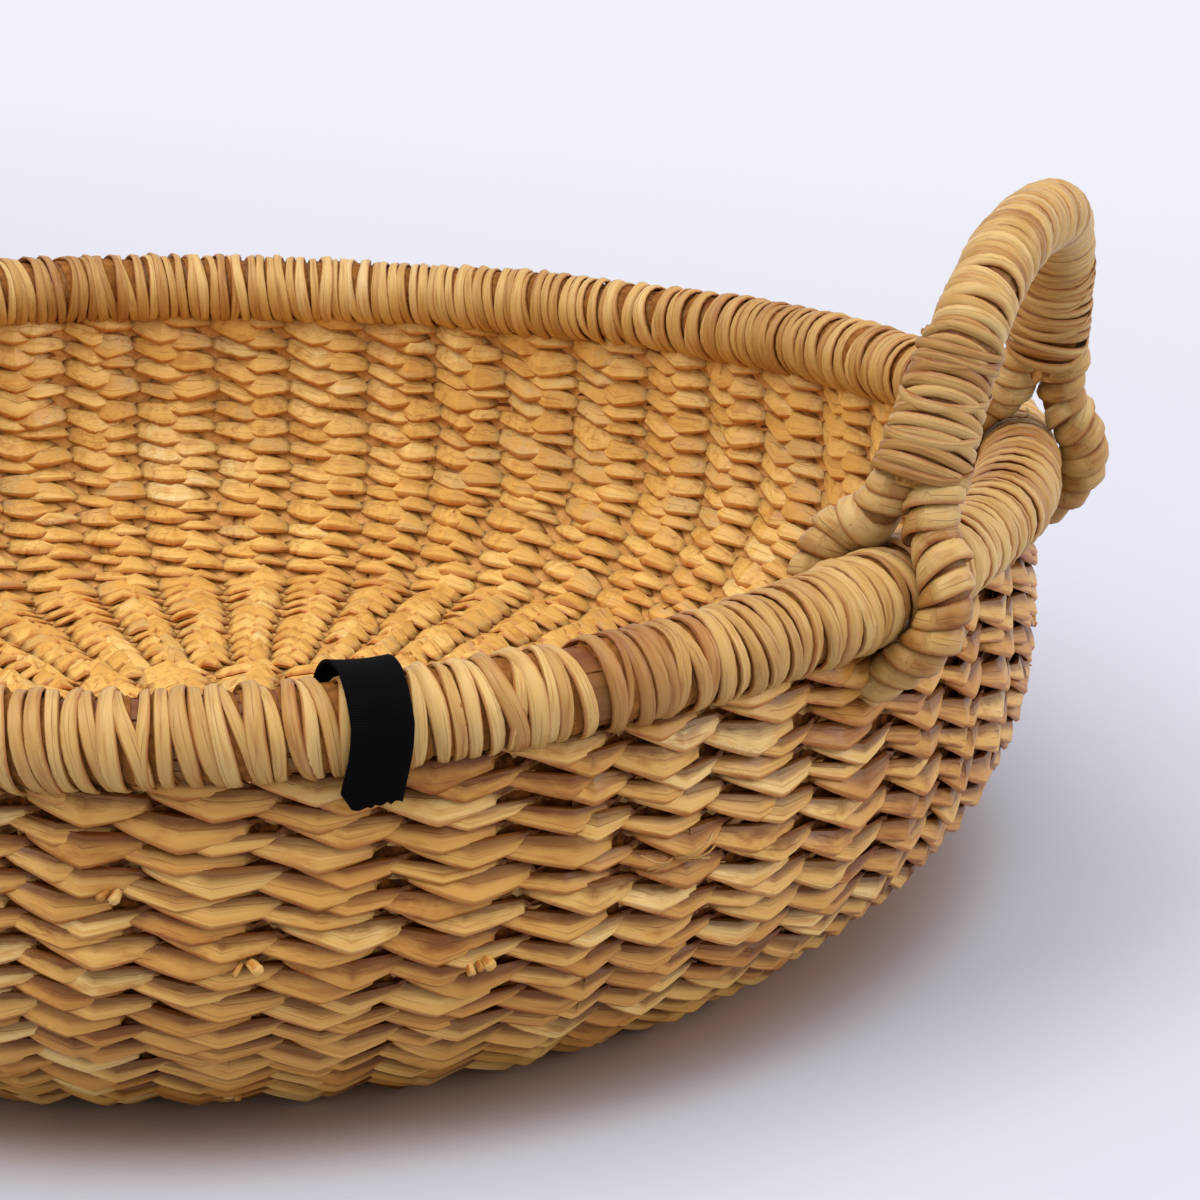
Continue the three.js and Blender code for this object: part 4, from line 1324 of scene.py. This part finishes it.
@dataclass
class LooseEnds:
    """The cut ends of the weavers that stand out of the wall, and a few stray fibres."""

    bowl: Bowl
    placed: tuple[Spot, ...] = ((-68.0, 0.070), (-61.0, 0.053), (-48.0, 0.048), (18.0, 0.061))
    tail: Spot = (-62.5, 0.010)
    frayed: Spot = (-36.0, 0.064)
    stray: Spot = (17.4, 0.118)
    scattered: int = 16
    strays: int = 18
    stub_radius: float = 0.0010
    stub_length: float = 0.0034
    stub_sink: float = 0.0012
    fibre_radius: float = 0.00022
    fibre_sink: float = 0.0004
    seed: int = 21

    def build(self, straw: Material, fibre_straw: Material) -> None:
        """Makes the stubs as one piece and the fibres as another."""
        dice = random.Random(self.seed)
        stubs = [line for place in self._places(dice) for line in self._tuft(place, dice, -0.25)]
        stubs += self._tuft(self.tail, dice, -1.3)
        dress(rods("weaver_ends", stubs, self._stub_shape, 7, straw), "weaver_straw")
        fibres = self._fan(self.frayed, dice, 7, 0.012) + self._fan(self.stray, dice, 1, 0.009)
        for _ in range(self.strays):
            fibres += self._fan((dice.uniform(-180, 180), dice.uniform(0.02, 0.09)), dice, 1, 0.006)
        dress(rods("stray_fibres", fibres, lambda *_: self.fibre_radius, 4, fibre_straw), "weaver_straw")

    def _places(self, dice: random.Random) -> list[Spot]:
        """The angle in degrees and the height of each tuft: those in view, and a scatter round the far side."""
        places = list(self.placed)
        for i in range(self.scattered):
            angle = 30 + 250 * (i + dice.uniform(0.1, 0.9)) / self.scattered
            places.append((angle, dice.uniform(0.022, 0.084)))
        return places

    def _stub_shape(self, number: int, share: float) -> float:
        """A stub's radius: fuller at its cut end."""
        return self.stub_radius * (0.95 + 0.3 * math.sin(number * 2.4)) * (1 + 0.15 * share)

    def _frame(self, place: Spot, sink: float) -> tuple[Vector, Vector, Vector]:
        """A point under the wall's outer face, the way out of it and the way round it."""
        angle = math.radians(place[0])
        radius = self.bowl.radius_at(place[1]) - sink
        out = Vector((math.cos(angle), math.sin(angle), 0))
        around = Vector((-math.sin(angle), math.cos(angle), 0))
        return out * radius + Vector((0, 0, place[1])), out, around

    def _tuft(self, place: Spot, dice: random.Random, droop: float) -> list[list[Vector]]:
        """Two or three stubs, fanned side by side."""
        start, out, around = self._frame(place, self.stub_sink)
        lines = []
        count = dice.choice((2, 2, 3))
        for k in range(count):
            aside = k - (count - 1) / 2
            heading = out + around * (aside * 0.4 + dice.uniform(-0.4, 0.4))
            heading.z += droop + dice.uniform(-0.5, 0.5)
            heading.normalize()
            first = start + around * (aside * self.stub_radius * 1.9)
            reach = self.stub_length * dice.uniform(0.75, 1.15)
            lines.append([first + heading * (reach * i / 4) for i in range(5)])
        return lines

    def _fan(self, place: Spot, dice: random.Random, count: int, reach: float) -> list[list[Vector]]:
        """Thin fibres that lift off the wall and curl."""
        start, out, around = self._frame(place, self.fibre_sink)
        lines = []
        for _ in range(count):
            side = dice.choice((-1, 1)) * dice.uniform(0.5, 1.0)
            lift, curl = dice.uniform(0.25, 0.7), dice.uniform(-0.5, 0.5)
            line = []
            for i in range(9):
                t = i / 8
                rise = Vector((0, 0, curl * t * t))
                line.append(start + (around * side * t + out * lift * t * (1.4 - t) + rise) * reach)
            lines.append(line)
        return lines


class Table:
    """The pale table, the light and the camera."""

    camera_place = Vector((0.3752, -0.6729, 0.3164))
    ahead = Vector((-0.368, 0.930, 0.0)).normalized()
    side = Vector((ahead.y, -ahead.x, 0))
    camera_pitch = math.radians(18.49)
    camera_roll = math.radians(0.33)
    lens = 87.0
    paper = (184, 184, 193)
    # The painted contact shadow under the basket: its colour, and the radii where it fades out and is full.
    shadow_paper = (158, 130, 110)
    shadow_edge = 0.222
    warm_core = 0.186
    backdrop = (240, 241, 250)
    fade = (-0.1, 1.25)
    far_fade = (1.5, 3.2)
    sky = (238, 240, 250)
    sky_strength = 0.94
    sky_seen = 0.07
    lamps = (
        ("key", (-0.9, -1.5, 2.1), 1.2, 25.0, (1.0, 0.96, 0.90)),
        ("overhead", (-0.1, -0.3, 2.4), 2.0, 38.0, (1.0, 0.98, 0.95)),
        ("fill", (1.7, 0.4, 0.9), 1.0, 14.0, (0.98, 0.99, 1.0)),
    )

    def build(self) -> None:
        """Sets the whole stage."""
        self._floor()
        self._lights()
        self._camera()

    def _floor(self) -> None:
        """A pale floor that curves up into a backdrop."""
        front, depth, rise, bend, half, steps = -4.0, 3.2, 3.5, 1.2, 6.0, 16
        line = [(front, 0.0)]
        for i in range(steps + 1):
            turn = math.pi / 2 * i / steps
            line.append((depth + bend * math.sin(turn), bend * (1 - math.cos(turn))))
        line.append((depth + bend, rise))
        points = [self.ahead * out + self.side * s + Vector((0, 0, up)) for out, up in line for s in (-half, half)]
        floor = shaped("studio_floor", points, grid(len(line) - 1, 1), self._pale_floor())

    def _pale_floor(self) -> Material:
        """Pale paper that turns brighter, to the eye alone, where it rises behind the basket, and darker and warmer
        under the basket's edge: a painted contact shadow.
        """
        material, sheet = blank("pale_floor")
        place = sheet.place()
        inputs = {0: place, 1: self.ahead + 0.5 * self.side}
        away = sheet.out(sheet.node("ShaderNodeVectorMath", {"operation": "DOT_PRODUCT"}, inputs), "Value")
        reach = sheet.out(sheet.node("ShaderNodeVectorMath", {"operation": "LENGTH"}, {0: place}), "Value")
        # Painted contact shadow: darker, warmer paper near the basket's foot.
        near = sheet.span(reach, self.shadow_edge, self.warm_core)
        colour = sheet.blend(near, srgb(*self.paper), srgb(*self.shadow_paper))
        paper = sheet.made("ShaderNodeBsdfPrincipled", inputs={"Base Color": colour, "Roughness": 0.85})
        glow = sheet.made("ShaderNodeEmission", inputs={"Color": srgb(*self.backdrop), "Strength": 1.0})
        path = sheet.node("ShaderNodeLightPath")
        seen = sheet.out(path, "Is Camera Ray")
        for kind in ("Is Glossy Ray", "Is Transmission Ray"):
            seen = seen.at_least(sheet.out(path, kind))
        share = sheet.span(away, *self.fade).at_least(sheet.span(reach, *self.far_fade)) * seen
        mixed = sheet.made("ShaderNodeMixShader", inputs={0: share, 1: paper, 2: glow})
        sheet.node("ShaderNodeOutputMaterial", inputs={"Surface": mixed})
        return material

    def _lights(self) -> None:
        """A soft sky and three large lamps that point at the basket."""
        world = bpy.data.worlds.new("soft_sky")
        bpy.context.scene.world = world
        world.use_nodes = True
        back = world.node_tree.nodes["Background"]
        back.inputs["Color"].default_value = srgb(*self.sky)
        sheet = NodeSheet(world.node_tree)
        seen = sheet.out(sheet.node("ShaderNodeLightPath"), "Is Camera Ray")
        sheet.plug(back.inputs["Strength"], seen * self.sky_seen + self.sky_strength)
        for name, place, size, power, colour in self.lamps:
            data = bpy.data.lights.new(name, "AREA")
            data.size, data.energy, data.color = size, power, colour
            lamp = stand(name, data)
            lamp.location = place
            lamp.rotation_euler = (-Vector(place)).to_track_quat("-Z", "Y").to_euler()

    def _camera(self) -> None:
        """The photograph's viewpoint."""
        data = bpy.data.cameras.new("camera")
        data.lens = self.lens
        camera = stand("camera", data)
        look = self.ahead * math.cos(self.camera_pitch)
        look.z = -math.sin(self.camera_pitch)
        turn = look.to_track_quat("-Z", "Y").to_matrix().to_4x4()
        camera.matrix_world = Matrix.Translation(self.camera_place) @ turn @ Matrix.Rotation(self.camera_roll, 4, "Z")
        bpy.context.scene.camera = camera


def dress_hidden_straw() -> None:
    """Gives the stakes and cores, which show through gaps, their own straw."""
    stake = SolidStrawFinish("stake_straw", (204, 154, 84), (132, 84, 36)).build()
    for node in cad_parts.values():
        if not node.hide_render:
            for place in node.material_slots:
                place.material = stake


WEAVE_TONES = (
    (0.0, (150, 98, 42)),
    (0.15, (176, 124, 57)),
    (0.32, (195, 147, 73)),
    (0.5, (206, 165, 92)),
    (0.58, (216, 184, 118)),
    (0.66, (214, 166, 86)),
    (0.8, (224, 180, 98)),
    (0.92, (232, 194, 114)),
    (1.0, (234, 208, 148)),
)

RIM_TONES = (
    (0.0, (154, 106, 54)),
    (0.2, (178, 138, 77)),
    (0.5, (196, 160, 94)),
    (0.85, (206, 173, 110)),
    (1.0, (210, 184, 134)),
)

HANDLE_TONES = (
    (0.0, (134, 87, 38)),
    (0.25, (168, 131, 72)),
    (0.5, (182, 148, 87)),
    (0.85, (191, 160, 101)),
    (1.0, (198, 174, 122)),
)


def main() -> None:
    """Builds the basket and its setting."""
    logging.basicConfig(level=logging.INFO, format="%(message)s")
    bpy.context.scene.view_settings.view_transform = "Standard"
    Table().build()
    weave_straw = StrawFinish("weave_straw", WEAVE_TONES).build()
    rim_straw = StrawFinish("rim_straw", RIM_TONES, streak_length=0.014).build()
    handle_straw = StrawFinish("handle_straw", HANDLE_TONES, streak_length=0.012).build()
    # The dark core straw, for the rim's stalks and the packing's outer face, and the dark under straw are painted
    # shade for what shows in the gaps; the paler inner packing is painted light inside the bowl.
    core_straw = SolidStrawFinish("core_straw", (112, 60, 18), (50, 22, 4)).build()
    shaded_under_straw = SolidStrawFinish("shaded_under_straw", (146, 94, 42), (116, 70, 28)).build()
    lit_inner_packing = SolidStrawFinish("lit_inner_packing", (208, 158, 94), (184, 130, 70)).build()
    bowl = Bowl()
    woven = WovenBowl(bowl)
    woven.build(weave_straw)
    woven.line(core_straw, lit_inner_packing)
    winding = WindingLoom()
    WrappedRim(bowl).build(winding, rim_straw, shaded_under_straw, core_straw)
    for name, side in (("right_handle", 1), ("left_handle", -1)):
        Handle(bowl, name, side).build(winding, handle_straw)
    LooseEnds(bowl).build(weave_straw, handle_straw)
    FoldedRibbon(bowl).build(RibbonCloth().build())
    dress_hidden_straw()


if __name__ == "__main__":
    main()
